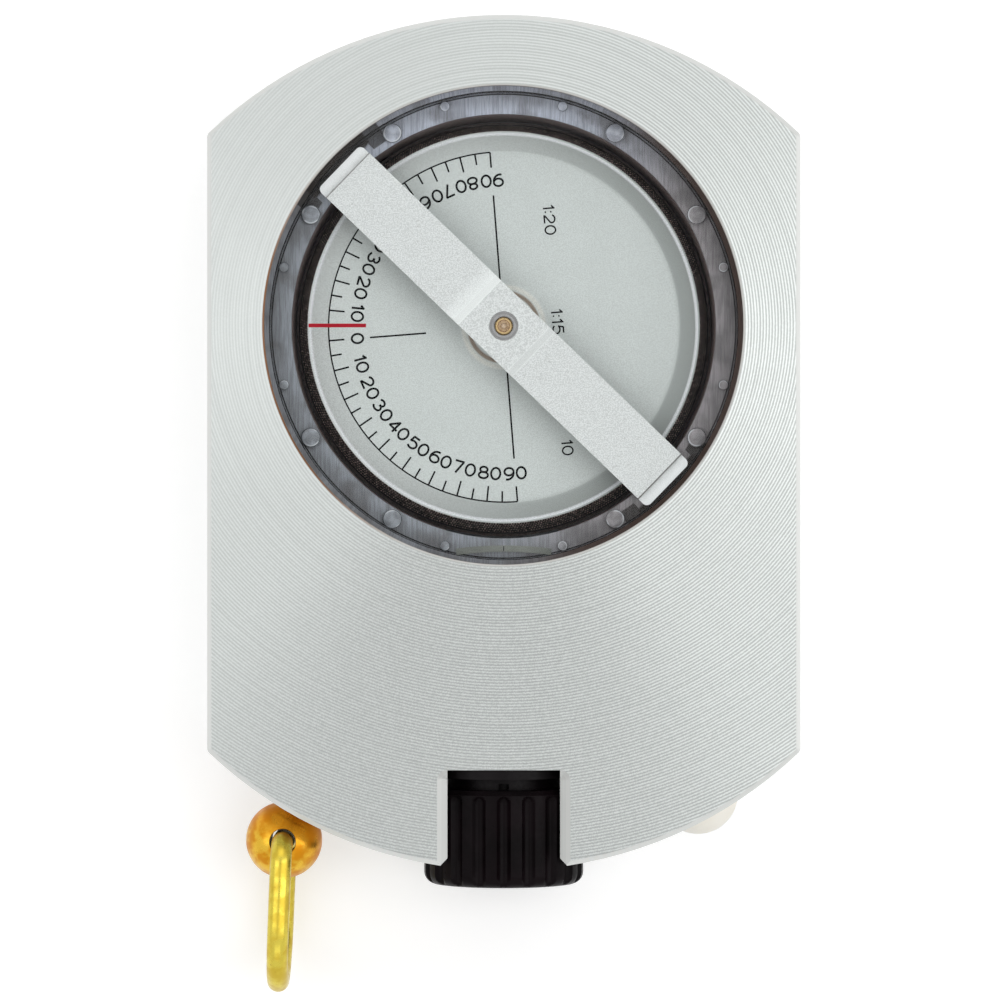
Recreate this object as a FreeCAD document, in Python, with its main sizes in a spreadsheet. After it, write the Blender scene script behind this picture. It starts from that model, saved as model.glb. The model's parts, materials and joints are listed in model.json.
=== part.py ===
"""Pocket inclinometer: a turned aluminium block that holds a liquid-filled dial capsule, a focusing
eyepiece in its lower end, and a lanyard ring.

Frame, in millimetres: the instrument lies on its back. +Z points out of the dial, +Y away from the
eyepiece. The origin is the centre of the turned blank, on the back face.
"""

import FreeCAD
import Part
import math
import os

import Sketcher
from FreeCAD import Placement, Rotation, Vector

# Driving dimensions: alias, value in millimetres (degrees for angles) and what it is.
DIMENSIONS = [
    # housing
    ("blank_radius", 37.5, "radius of the turned blank"),
    ("body_width", 52.0, "across the two flat sides"),
    ("body_thick", 15.0, "front face to back face"),
    ("edge_bevel", 0.4, "bevel round both faces"),
    ("corner_round", 0.6, "round on the four upright corners"),
    ("side_wall", 5.0, "metal between the well and a flat side"),
    ("top_wall", 6.2, "metal between the well and the top of the rim"),
    ("well_floor", 2.0, "height of the bottom of the well"),
    ("mouth_bevel", 0.15, "bevel at the mouth of the well and on the window"),
    ("bay_depth", 8.8, "depth of the knob bay below the rim"),
    ("bay_skin", 0.2, "metal left between the knob bay and each face"),
    ("slot_width", 9.9, "thumb slot over the focus knob"),
    ("slot_bevel", 0.9, "bevel along the sides of the thumb slot"),
    ("slot_corner", 0.7, "bevel down the corners between the slot's sides and the rim"),
    ("plate_side", 6.0, "back plate to a flat side"),
    ("plate_upper", 3.7, "upper corners of the back plate to the rim"),
    ("plate_lower", 7.7, "lower corners of the back plate to the rim"),
    ("plate_round", 4.0, "corner radius of the back plate"),
    ("plate_thick", 0.5, "back plate"),
    ("side_hole_angle", 29.0, "lanyard stud and blanking plug, from the eyepiece's axis"),
    ("side_hole_radius", 1.25, "radius of their holes"),
    ("side_hole_depth", 7.0, "depth of their holes below the rim"),
    ("side_seat_radius", 3.3, "flat seats round these holes"),
    ("side_seat_depth", 0.15, "depth of these seats below the rim"),
    # fits
    ("fit_gap", 0.02, "play of parts that are pressed or glued in"),
    ("running_gap", 0.05, "play of parts that turn or slide"),
    # capsule
    ("cushion_thick", 0.4, "rubber ring under the capsule"),
    ("cushion_wide", 4.0, "width of that ring"),
    ("cup_floor", 1.0, "thickness of the capsule's floor"),
    ("cup_wall", 2.28, "thickness of the capsule's wall"),
    ("cup_rim", 0.4, "thickness of the rim above the shoulder"),
    ("shoulder_depth", 1.9, "shoulder below the window"),
    ("stud_radius", 0.85, "round studs on the shoulder"),
    ("stud_rise", 0.35, "their height"),
    ("pip_radius", 0.45, "small pips on the shoulder"),
    ("pip_rise", 0.25, "their height"),
    ("window_thick", 1.2, "front window"),
    ("window_sink", 0.3, "window below the front face"),
    ("filler_radius", 0.8, "filling hole in the capsule's floor"),
    ("filler_inset", 5.7, "filling hole from the capsule's wall"),
    ("index_length", 5.05, "red index line"),
    ("index_width", 0.33, "red index line"),
    ("index_thick", 0.08, "its paint"),
    ("index_inset", 0.25, "outer end of the index line inside the edge of the dial"),
    # bearings
    ("bridge_width", 5.45, "bearing bridge"),
    ("bridge_thick", 0.5, "bearing bridge"),
    ("bridge_clear", 0.9, "bridge below the window"),
    ("bridge_drop", 0.3, "the middle of the bridge lies this much lower"),
    ("bridge_flat", 3.0, "half length of that middle"),
    ("bridge_slope", 0.6, "length of the bend beside it"),
    ("bridge_angle", 136.0, "direction of the bridge, from +X"),
    ("foot_step", 0.4, "bend at the foot outside the liquid space"),
    ("foot_length", 1.1, "length of a foot"),
    ("foot_round", 0.5, "corner radius of a foot"),
    ("foot_depth", 0.4, "pocket in the shoulder for a foot"),
    ("foot_room", 0.8, "room in the pocket beside a foot"),
    ("bush_radius", 1.27, "steel bush in the bridge"),
    ("bush_flange", 0.6, "its flange beyond the hole"),
    ("bush_depth", 0.45, "its flange below the bridge"),
    ("bush_sink", 0.15, "its top below the bridge's top"),
    ("screw_radius", 0.81, "brass bearing screws"),
    ("screw_below", 0.8, "upper bearing screw below the bridge"),
    ("screw_sink", 0.08, "top of that screw below the bridge's top"),
    ("screw_bevel", 0.12, "bevel of its head"),
    ("screw_dimple", 0.3, "radius and depth of the dimple in its head"),
    ("post_wall", 1.2, "capsule floor's post round the lower bearing"),
    ("post_rise", 1.0, "height of that post"),
    ("jewel_radius", 0.5, "bearing jewels"),
    ("jewel_thick", 0.45, "bearing jewels"),
    ("jewel_cup", 0.27, "depth of the cup in a jewel"),
    ("pivot_play", 0.04, "end play at each tip of the pivot"),
    ("axle_radius", 0.35, "pivot axle"),
    ("cone_length", 0.5, "pointed ends of the axle"),
    # dial card
    ("card_clear", 2.2, "flat of the dial below the bridge"),
    ("card_angle", 4.5, "how far the dial stands turned at rest"),
    ("disc_border", 1.8, "sloping border of the dial disc"),
    ("disc_edge", 0.3, "flat edge outside the slope"),
    ("disc_thick", 0.5, "dial disc"),
    ("disc_dish", 0.55, "drop of the sloping border"),
    ("drum_clear", 0.35, "scale drum from the capsule's wall"),
    ("drum_lift", 0.7, "scale drum above the capsule's floor"),
    ("drum_flare", 0.95, "the drum widens by this much downwards"),
    ("drum_wall", 0.5, "scale drum"),
    ("hub_radius", 3.3, "flange of the hub"),
    ("hub_rise", 0.45, "flange of the hub above the dial"),
    ("hub_bevel", 0.3, "bevel of that flange"),
    ("hub_seat", 2.0, "radius of the hub inside the disc"),
    ("hub_below", 1.5, "hub below the disc"),
    ("weight_clear", 1.4, "counterweight from the drum"),
    ("weight_wide", 6.5, "width of the counterweight's sector"),
    ("weight_thick", 1.6, "counterweight"),
    ("weight_angle", 90.0, "angle of the counterweight's sector"),
    # eyepiece
    ("knob_gap", 0.2, "focus knob from the wall of its bay"),
    ("knob_length", 8.55, "focus knob"),
    ("knob_collar", 0.45, "plain collar before the flutes"),
    ("knob_bevel", 0.4, "bevel at the inner end"),
    ("knob_round", 1.1, "round at the outer end"),
    ("knob_wall", 0.6, "wall under the flutes"),
    ("knob_face", 1.15, "thickness of the end face"),
    ("knob_eye_bevel", 0.5, "bevel round the eye opening"),
    ("lip_height", 1.0, "threaded lip inside the knob"),
    ("lip_length", 2.4, "threaded lip inside the knob"),
    ("flute_count", 20, "flutes round the knob"),
    ("flute_radius", 0.56, "radius of the round-nosed cutter"),
    ("flute_depth", 0.5, "flutes"),
    ("barrel_wall", 0.9, "lens barrel"),
    ("barrel_clear", 3.3, "lens barrel from the well"),
    ("barrel_room", 1.3, "lens barrel from the lens cell's flange"),
    ("flange_gap", 0.7, "barrel flange from the wall of the bay"),
    ("flange_thick", 0.9, "barrel flange"),
    ("neck_length", 1.0, "bare barrel between the flange and the knob"),
    ("hairline_thick", 0.8, "hairline glass"),
    ("hairline_step", 0.4, "height of the step that it seats on"),
    ("hairline_inset", 1.2, "length of that step"),
    ("hairline_ring", 0.8, "ring that holds the glass"),
    ("grub_radius", 1.0, "grub screw that locks the barrel"),
    ("grub_socket", 0.45, "radius of its socket"),
    ("grub_bevel", 0.3, "its tip"),
    ("cell_wall", 0.55, "lens cell"),
    ("cell_length", 7.3, "lens cell inside its flange"),
    ("cell_flange", 0.6, "thickness of the flange of the lens cell"),
    ("cell_clear", 0.3, "that flange from the wall of the knob"),
    ("cell_play", 0.1, "end play of that flange"),
    ("clip_thick", 0.4, "clip that holds the cell in the knob"),
    ("clip_clear", 0.25, "clip from the lens barrel"),
    ("lens_thick", 2.2, "eye lens at its middle"),
    ("lens_curve", 9.0, "radius of both lens faces"),
    ("lens_lip", 0.35, "height of the lip that the lens rests on"),
    ("lens_lip_length", 0.5, "length of that lip"),
    ("lens_ring", 0.7, "length of the ring that holds the lens"),
    ("lens_ring_wall", 0.5, "wall of that ring"),
    ("key_radius", 0.4, "guide pin of the lens cell"),
    ("key_inset", 1.4, "guide pin from the inner end of the cell"),
    ("key_inward", 0.9, "travel room of the pin towards the dial"),
    ("key_outward", 1.4, "travel room of the pin towards the eye"),
    # lanyard
    ("ball_radius", 3.4, "lanyard ball"),
    ("ball_flat", 1.6, "radius of the flat that it seats on"),
    ("ring_wire", 0.95, "radius of the ring's wire"),
    ("ring_play", 0.2, "play of the wire in the ball"),
    ("ring_bend", 1.95, "bends beside the ball"),
    ("ring_reach", 12.6, "hole to the far end of the ring, on the wire's centreline"),
    ("ring_lean", 2.3, "the ring hangs this far off straight down"),
    ("dome_radius", 3.15, "blanking plug's head"),
    ("dome_rise", 1.9, "blanking plug's head"),
    ("shank_short", 0.5, "shanks end above the bottom of their holes"),
]

DOC = FreeCAD.newDocument("Inclinometer")
SHEET = DOC.addObject("Spreadsheet::Sheet", "Sizes")
for row, (alias, value, note) in enumerate(DIMENSIONS, start=1):
    SHEET.set(f"A{row}", alias)
    SHEET.set(f"B{row}", repr(value))
    SHEET.setAlias(f"B{row}", alias)
    SHEET.set(f"C{row}", note)
DOC.recompute()


class Size:
    """A number with the spreadsheet expression that gives it, so that one formula sets both."""

    def __init__(self, value, text):
        self.value = value
        self.text = text

    @staticmethod
    def of(other):
        return other if isinstance(other, Size) else Size(float(other), repr(float(other)))

    def __add__(self, other):
        other = Size.of(other)
        return Size(self.value + other.value, f"({self.text} + {other.text})")

    def __sub__(self, other):
        other = Size.of(other)
        return Size(self.value - other.value, f"({self.text} - {other.text})")

    def __mul__(self, other):
        other = Size.of(other)
        return Size(self.value * other.value, f"({self.text} * {other.text})")

    def __truediv__(self, other):
        other = Size.of(other)
        return Size(self.value / other.value, f"({self.text} / {other.text})")

    def __neg__(self):
        return Size(-self.value, f"(0 - {self.text})")


class SheetSizes:
    """Gives each alias of the sheet as a Size: S.body_width and so on."""

    def __getattr__(self, alias):
        return Size(float(SHEET.get(alias)), f"Sizes.{alias}")


def cosine(angle):
    return Size(math.cos(math.radians(angle.value)), f"cos({angle.text})")


def sine(angle):
    return Size(math.sin(math.radians(angle.value)), f"sin({angle.text})")


def other_side(long_side, short_side):
    """The third side of a right-angled triangle."""
    square = long_side * long_side - short_side * short_side
    return Size(math.sqrt(square.value), f"sqrt({square.text})")


S = SheetSizes()
ZERO = Size(0.0, "0")

# ---------------------------------------------------------------- sizes that follow from others

# housing
WELL_RADIUS = S.body_width / 2 - S.side_wall
DIAL_Y = S.blank_radius - S.top_wall - WELL_RADIUS
MID_HEIGHT = S.body_thick / 2
BAY_START = S.blank_radius - S.bay_depth
BAY_RADIUS = MID_HEIGHT - S.bay_skin
PLATE_HALF = S.body_width / 2 - S.plate_side
RIM_OVER_PLATE = other_side(S.blank_radius, PLATE_HALF)

# capsule, outwards and upwards
CUP_OUTER = WELL_RADIUS - S.fit_gap
CUP_BORE = CUP_OUTER - S.cup_wall
RIM_INNER = CUP_OUTER - S.cup_rim
CUP_BASE = S.well_floor + S.cushion_thick
CUP_FLOOR = CUP_BASE + S.cup_floor
WINDOW_TOP = S.body_thick - S.window_sink
WINDOW_LOW = WINDOW_TOP - S.window_thick
SHOULDER = WINDOW_LOW - S.shoulder_depth
FILLER_PLACE = CUP_BORE - S.filler_inset

# bearings
BRIDGE_TOP = WINDOW_LOW - S.bridge_clear
MIDDLE_TOP = BRIDGE_TOP - S.bridge_drop
MIDDLE_LOW = MIDDLE_TOP - S.bridge_thick
FOOT_LOW = SHOULDER - S.foot_depth
FOOT_BEND = CUP_BORE + S.foot_step
FOOT_END = FOOT_BEND + S.foot_length
UPPER_JEWEL = MIDDLE_LOW - S.screw_below
LOWER_JEWEL = CUP_FLOOR + S.post_rise

# dial card
CARD_TOP = MIDDLE_LOW - S.card_clear
DISC_UNDER = CARD_TOP - S.disc_thick
BORDER_UNDER = DISC_UNDER - S.disc_dish
DRUM_WIDE = CUP_BORE - S.drum_clear
DISC_RADIUS = DRUM_WIDE - S.drum_flare
DISC_FLAT = DISC_RADIUS - S.disc_border
DRUM_LOW = CUP_FLOOR + S.drum_lift
WEIGHT_OUTER = DISC_RADIUS - S.drum_wall - S.weight_clear

# eyepiece: radii from the outside in, then distances from the blank's centre
KNOB_RADIUS = BAY_RADIUS - S.knob_gap
CAVITY = KNOB_RADIUS - S.flute_depth - S.knob_wall
BARREL_BORE = CAVITY - S.lip_height
BARREL_OUTER = BARREL_BORE - S.fit_gap
BARREL_INNER = BARREL_OUTER - S.barrel_wall
CELL_OUTER = BARREL_INNER - S.running_gap
CELL_INNER = CELL_OUTER - S.cell_wall
LENS_RADIUS = CELL_INNER - S.fit_gap
FLANGE_TOP = BAY_START + S.flange_thick
KNOB_START = FLANGE_TOP + S.neck_length
KNOB_END = KNOB_START + S.knob_length
KNOB_INSIDE = KNOB_END - S.knob_face
CELL_END = KNOB_INSIDE - S.cell_play
CELL_FLANGE = CELL_END - S.cell_flange
CELL_START = CELL_FLANGE - S.cell_length
BARREL_END = CELL_FLANGE - S.barrel_room
BARREL_START = WELL_RADIUS - DIAL_Y + S.barrel_clear
HAIRLINE_SEAT = BARREL_START + S.hairline_inset
KEY_PLACE = CELL_START + S.key_inset
GRUB_PLACE = (BARREL_START + BAY_START) / 2

# lanyard side
SIDE_SEAT = S.blank_radius - S.side_seat_depth
SHANK = S.side_hole_radius - S.fit_gap
SHANK_LENGTH = S.side_hole_depth - S.side_seat_depth - S.shank_short
BALL_STAND = other_side(S.ball_radius, S.ball_flat)

# ---------------------------------------------------------------- helpers

PIECES = []


def bind(item, prop, size):
    """Ties a property to the sheet."""
    item.setExpression(prop, Size.of(size).text)


def new_body(name):
    body = DOC.addObject("PartDesign::Body", name)
    body.Label = name
    PIECES.append(body)
    return body


def new_sketch(body, name, plane="XY_Plane", offset=ZERO):
    """A sketch parallel to one of the body's own origin planes, at an offset along its normal."""
    planes = {feature.Role: feature for feature in body.Origin.OriginFeatures}
    sketch = body.newObject("Sketcher::SketchObject", f"{body.Name}_{name}")
    sketch.AttachmentSupport = (planes[plane], [""])
    sketch.MapMode = "FlatFace"
    bind(sketch, "AttachmentOffset.Base.z", offset)
    return sketch


def constrain(sketch, size, *rule):
    """Adds a constraint whose last value is a size, and ties it to the sheet."""
    index = sketch.addConstraint(Sketcher.Constraint(*rule, size.value))
    sketch.setExpression(f"Constraints[{index}]", size.text)


def pin_point(sketch, shape, point, x, y):
    """Fixes one point of a sketched shape at x, y from the sketch's origin."""
    constrain(sketch, x, "DistanceX", -1, 1, shape, point)
    constrain(sketch, y, "DistanceY", -1, 1, shape, point)


def add_outline(sketch, corners):
    """A closed outline of (x, y) corners. A corner (x, y, radius) is reached from the one before it
    by an arc that bulges to the right of the way."""
    corners = [tuple(Size.of(value) for value in corner) for corner in corners]
    first = sketch.GeometryCount
    for index, corner in enumerate(corners):
        following = corners[(index + 1) % len(corners)]
        start = Vector(corner[0].value, corner[1].value, 0)
        end = Vector(following[0].value, following[1].value, 0)
        if len(following) == 2:
            sketch.addGeometry(Part.LineSegment(start, end))
            continue
        radius = following[2]
        chord = end - start
        rise = radius.value - math.sqrt(radius.value**2 - (chord.Length / 2) ** 2)
        right = Vector(chord.y, -chord.x, 0).normalize()
        sketch.addGeometry(Part.Arc(start, (start + end) * 0.5 + right * rise, end))
        constrain(sketch, radius, "Radius", first + index)
    for index, corner in enumerate(corners):
        after = first + (index + 1) % len(corners)
        sketch.addConstraint(Sketcher.Constraint("Coincident", first + index, 2, after, 1))
        pin_point(sketch, first + index, 1, corner[0], corner[1])


def add_box(sketch, low_x, low_y, high_x, high_y):
    add_outline(sketch, [(low_x, low_y), (high_x, low_y), (high_x, high_y), (low_x, high_y)])


def add_circle(sketch, x, y, radius):
    index = sketch.GeometryCount
    sketch.addGeometry(Part.Circle(Vector(x.value, y.value, 0), Vector(0, 0, 1), radius.value))
    pin_point(sketch, index, 3, x, y)
    constrain(sketch, radius, "Radius", index)


def extrude(kind, body, sketch, length, reverse, symmetric):
    feature = body.newObject(f"PartDesign::{kind}", f"{sketch.Name}_{kind.lower()}")
    feature.Profile = sketch
    feature.Reversed = reverse
    feature.SideType = "Symmetric" if symmetric else "One side"
    bind(feature, "Length", length)
    DOC.recompute()
    return feature


def pad(body, sketch, length, symmetric=False):
    return extrude("Pad", body, sketch, length, False, symmetric)


def pocket(body, sketch, depth, reverse=False, symmetric=False):
    """Cuts against the sketch's normal, or along it when reversed."""
    before = body.Shape.Volume
    feature = extrude("Pocket", body, sketch, depth, reverse, symmetric)
    must_have_cut(body, feature, before)
    return feature


def must_have_cut(body, feature, before):
    if body.Shape.Volume > before - 1e-6:
        raise RuntimeError(f"{feature.Name} removed nothing")


def drill(body, name, radius, height, far_radius=None):
    """A subtractive cylinder or cone along its own Z axis; the caller places it."""
    kind = "Cylinder" if far_radius is None else "Cone"
    feature = body.newObject(f"PartDesign::Subtractive{kind}", f"{body.Name}_{name}")
    if far_radius is None:
        bind(feature, "Radius", radius)
    else:
        bind(feature, "Radius1", radius)
        bind(feature, "Radius2", far_radius)
    bind(feature, "Height", height)
    return feature


def turned(name, corners, degrees=None):
    """A body turned about its own Z axis from an outline of (radius, height) corners."""
    body = new_body(name)
    sketch = new_sketch(body, "profile", "XZ_Plane")
    add_outline(sketch, corners)
    feature = body.newObject("PartDesign::Revolution", f"{name}_turning")
    feature.Profile = sketch
    feature.ReferenceAxis = (sketch, ["V_Axis"])
    feature.Angle = 360
    if degrees is not None:
        feature.Midplane = True
        bind(feature, "Angle", degrees)
    DOC.recompute()
    return body


def turned_ring(name, inner, outer, low, high):
    return turned(name, [(inner, low), (outer, low), (outer, high), (inner, high)])


def repeat_round(body, feature, sketch, axis, count):
    """Repeats a feature in a full circle about one of its sketch's axes."""
    pattern = body.newObject("PartDesign::PolarPattern", f"{feature.Name}_round")
    pattern.Originals = [feature]
    pattern.Axis = (sketch, [axis])
    pattern.Angle = 360
    bind(pattern, "Occurrences", count)
    body.Tip = pattern
    DOC.recompute()
    return pattern


def dress(body, kind, prop, size, keep):
    """A Fillet or Chamfer on the edges of the finished body so far that keep() picks."""
    tip = body.Tip
    names = [f"Edge{n}" for n, edge in enumerate(tip.Shape.Edges, start=1) if keep(edge.BoundBox)]
    feature = body.newObject(f"PartDesign::{kind}", f"{tip.Name}_{kind.lower()}")
    feature.Base = (tip, names)
    bind(feature, prop, size)
    DOC.recompute()
    return feature


def near(number, size):
    return abs(number - Size.of(size).value) < 1e-4


def lies_at(box, height):
    return near(box.ZMin, height) and near(box.ZMax, height)


def stands_upright(box):
    return box.ZLength > 1e-3 and box.XLength < 1e-6 and box.YLength < 1e-6


def place(item, x=ZERO, y=ZERO, z=ZERO, rotation=Rotation()):
    item.Placement = Placement(Vector(0, 0, 0), rotation)
    bind(item, "Placement.Base.x", x)
    bind(item, "Placement.Base.y", y)
    bind(item, "Placement.Base.z", z)


def turn_about_z(item, angle):
    """Turns an item whose placement has no other rotation."""
    bind(item, "Placement.Rotation.Angle", angle)


FACING_EYE = Rotation(Vector(1, 0, 0), 90)


def place_on_dial_axis(item, angle=None):
    """For pieces made about Z in the instrument's own heights."""
    place(item, y=DIAL_Y, rotation=Rotation(Vector(0, 0, 1), 0 if angle is None else angle.value))
    if angle is not None:
        turn_about_z(item, angle)


def place_on_sight_axis(item):
    """For pieces made about Z: their +Z points to the eye and their +Y to the front face."""
    place(item, z=MID_HEIGHT, rotation=FACING_EYE)


def place_at_rim(item, side, distance):
    """On the axis of a side hole, +Z outwards and +Y to the front face; side -1 has the lanyard."""
    x = sine(S.side_hole_angle) * distance * side
    y = -cosine(S.side_hole_angle) * distance
    around = Rotation(Vector(0, 0, 1), side * S.side_hole_angle.value)
    place(item, x, y, MID_HEIGHT, around * FACING_EYE)


# ---------------------------------------------------------------- housing and back plate

def make_housing():
    body = new_body("housing")
    blank = new_sketch(body, "blank")
    add_circle(blank, ZERO, ZERO, S.blank_radius)
    pad(body, blank, S.body_thick)
    outside = S.blank_radius + 1

    sides = new_sketch(body, "sides")
    add_box(sides, S.body_width / 2, -outside, outside, outside)
    add_box(sides, -outside, -outside, -S.body_width / 2, outside)
    pocket(body, sides, S.body_thick, reverse=True)
    dress(body, "Fillet", "Radius", S.corner_round, stands_upright)
    both_faces = lambda box: lies_at(box, ZERO) or lies_at(box, S.body_thick)
    dress(body, "Chamfer", "Size", S.edge_bevel, both_faces)

    well = new_sketch(body, "well", offset=S.body_thick)
    add_circle(well, ZERO, DIAL_Y, WELL_RADIUS)
    pocket(body, well, S.body_thick - S.well_floor)
    mouth = lambda box: lies_at(box, S.body_thick) and near(box.XLength, WELL_RADIUS * 2)
    dress(body, "Chamfer", "Size", S.mouth_bevel, mouth)

    bay = new_sketch(body, "bay", "XZ_Plane", outside)
    add_circle(bay, ZERO, MID_HEIGHT, BAY_RADIUS)
    pocket(body, bay, outside - BAY_START)
    bore = new_sketch(body, "barrel_bore", "XZ_Plane", BAY_START)
    add_circle(bore, ZERO, MID_HEIGHT, BARREL_BORE)
    pocket(body, bore, BAY_START - (WELL_RADIUS - DIAL_Y) + 1)
    cut_thumb_slot(body, outside)
    cut_back(body)
    for side, name in ((-1, "stud"), (1, "plug")):
        cut_side_hole(body, side, name)


def cut_thumb_slot(body, outside):
    """A slot through both faces, its sides bevelled by a cutter that leaves round inner ends."""
    narrow = S.slot_width / 2
    wide = narrow + S.slot_bevel
    slot = new_sketch(body, "slot", "XZ_Plane", outside)
    add_box(slot, -narrow, ZERO, narrow, S.body_thick)
    pocket(body, slot, outside - BAY_START)

    bevels = new_sketch(body, "slot_bevels", "XZ_Plane", outside)
    low, high = S.slot_bevel, S.body_thick - S.slot_bevel
    add_outline(bevels, [(-wide, ZERO), (wide, ZERO), (narrow, low), (-narrow, low)])
    add_outline(bevels, [(-narrow, high), (narrow, high), (wide, S.body_thick), (-wide, S.body_thick)])
    cutter_end = BAY_START + S.slot_bevel
    pocket(body, bevels, outside - cutter_end)

    corners = new_sketch(body, "slot_corners")
    start = other_side(S.blank_radius, narrow) - S.slot_corner
    reach = narrow + outside - start
    add_outline(corners, [(narrow, -start), (narrow, -outside), (reach, -outside)])
    add_outline(corners, [(-narrow, -start), (-reach, -outside), (-narrow, -outside)])
    pocket(body, corners, S.body_thick, reverse=True)
    for side in (-1, 1):
        for name, base, radius, far_radius in (
            ("back", ZERO, S.slot_bevel, ZERO),
            ("front", high, ZERO, S.slot_bevel),
        ):
            before = body.Shape.Volume
            cone = drill(body, f"slot_{name}_end", radius, S.slot_bevel, far_radius)
            place(cone, narrow * side, -cutter_end, base)
            DOC.recompute()
            must_have_cut(body, cone, before)


def cut_back(body):
    """The recess for the back plate and the grub screw's hole."""
    recess = new_sketch(body, "recess")
    half = PLATE_HALF + S.fit_gap
    low = S.plate_lower - RIM_OVER_PLATE - S.fit_gap
    high = RIM_OVER_PLATE - S.plate_upper + S.fit_gap
    add_box(recess, -half, low, half, high)
    pocket(body, recess, S.plate_thick, reverse=True)
    in_recess = lambda box: stands_upright(box) and near(box.ZMax, S.plate_thick)
    corner = lambda box: in_recess(box) and near(abs(box.XMax), half)
    dress(body, "Fillet", "Radius", S.plate_round, corner)
    grub = new_sketch(body, "grub_hole")
    add_circle(grub, ZERO, -GRUB_PLACE, S.grub_radius)
    pocket(body, grub, MID_HEIGHT, reverse=True)


def cut_side_hole(body, side, name):
    for part, radius, distance in (
        ("seat", S.side_seat_radius, SIDE_SEAT),
        ("hole", S.side_hole_radius, S.blank_radius - S.side_hole_depth),
    ):
        before = body.Shape.Volume
        cylinder = drill(body, f"{name}_{part}", radius, S.side_hole_depth + 1)
        place_at_rim(cylinder, side, distance)
        DOC.recompute()
        must_have_cut(body, cylinder, before)


def make_back_plate():
    body = new_body("back_plate")
    sketch = new_sketch(body, "outline")
    add_box(sketch, -PLATE_HALF, S.plate_lower - RIM_OVER_PLATE, PLATE_HALF, RIM_OVER_PLATE - S.plate_upper)
    pad(body, sketch, S.plate_thick)
    dress(body, "Fillet", "Radius", S.plate_round - S.fit_gap, stands_upright)


# ---------------------------------------------------------------- capsule

def make_capsule_cushion():
    ring = turned_ring("capsule_cushion", CUP_OUTER - S.cushion_wide, CUP_OUTER, S.well_floor, CUP_BASE)
    place_on_dial_axis(ring)


def make_capsule_cup():
    """The clear cup that holds the liquid, with a wide shoulder under the window."""
    post = S.screw_radius + S.post_wall
    body = turned(
        "capsule_cup",
        [
            (ZERO, CUP_BASE),
            (CUP_OUTER, CUP_BASE),
            (CUP_OUTER, WINDOW_LOW),
            (RIM_INNER, WINDOW_LOW),
            (RIM_INNER, SHOULDER),
            (CUP_BORE, SHOULDER),
            (CUP_BORE, CUP_FLOOR),
            (post, CUP_FLOOR),
            (post, LOWER_JEWEL),
            (ZERO, LOWER_JEWEL),
        ],
    )
    stud_circle = (CUP_BORE + RIM_INNER) / 2
    pip_circle = RIM_INNER - S.pip_radius - S.fit_gap * 4
    for name, angles, distance, radius, rise in (
        ("studs", (30, 60), stud_circle, S.stud_radius, S.stud_rise),
        ("pips", (15, 75), pip_circle, S.pip_radius, S.pip_rise),
    ):
        sketch = new_sketch(body, name, offset=SHOULDER)
        for angle in angles:
            turn = Size.of(angle)
            add_circle(sketch, distance * cosine(turn), distance * sine(turn), radius)
        repeat_round(body, pad(body, sketch, rise), sketch, "N_Axis", 4)

    feet = new_sketch(body, "foot_pockets", offset=SHOULDER + S.stud_rise)
    bind(feet, "AttachmentOffset.Rotation.Angle", S.bridge_angle)
    half = S.bridge_width / 2 + S.foot_room
    reach = FOOT_END + S.fit_gap
    add_box(feet, CUP_BORE - 1, -half, reach, half)
    add_box(feet, -reach, -half, -(CUP_BORE - 1), half)
    pocket(body, feet, S.foot_depth + S.stud_rise)

    seat = new_sketch(body, "bearing_seat", offset=LOWER_JEWEL)
    add_circle(seat, ZERO, ZERO, S.screw_radius + S.fit_gap)
    pocket(body, seat, S.post_rise)
    filler = new_sketch(body, "filling_hole", offset=CUP_FLOOR)
    add_circle(filler, FILLER_PLACE, ZERO, S.filler_radius + S.fit_gap)
    pocket(body, filler, S.cup_floor)
    place_on_dial_axis(body)


def make_filling_plug():
    body = turned_ring("filling_plug", ZERO, S.filler_radius, CUP_BASE, CUP_FLOOR)
    place(body, FILLER_PLACE, DIAL_Y)


def make_capsule_window():
    body = turned_ring("capsule_window", ZERO, CUP_OUTER, WINDOW_LOW, WINDOW_TOP)
    dress(body, "Chamfer", "Size", S.mouth_bevel, lambda box: lies_at(box, WINDOW_TOP))
    place_on_dial_axis(body)


def make_index_line():
    """The fixed red line under the window against which the dial is read."""
    line = DOC.addObject("Part::Box", "index_line")
    line.Label = "index_line"
    PIECES.append(line)
    bind(line, "Length", S.index_length)
    bind(line, "Width", S.index_width)
    bind(line, "Height", S.index_thick)
    outer_end = DISC_RADIUS - S.index_inset
    place(line, -outer_end, DIAL_Y - S.index_width / 2, WINDOW_LOW - S.index_thick)


# ---------------------------------------------------------------- bearings

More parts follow.
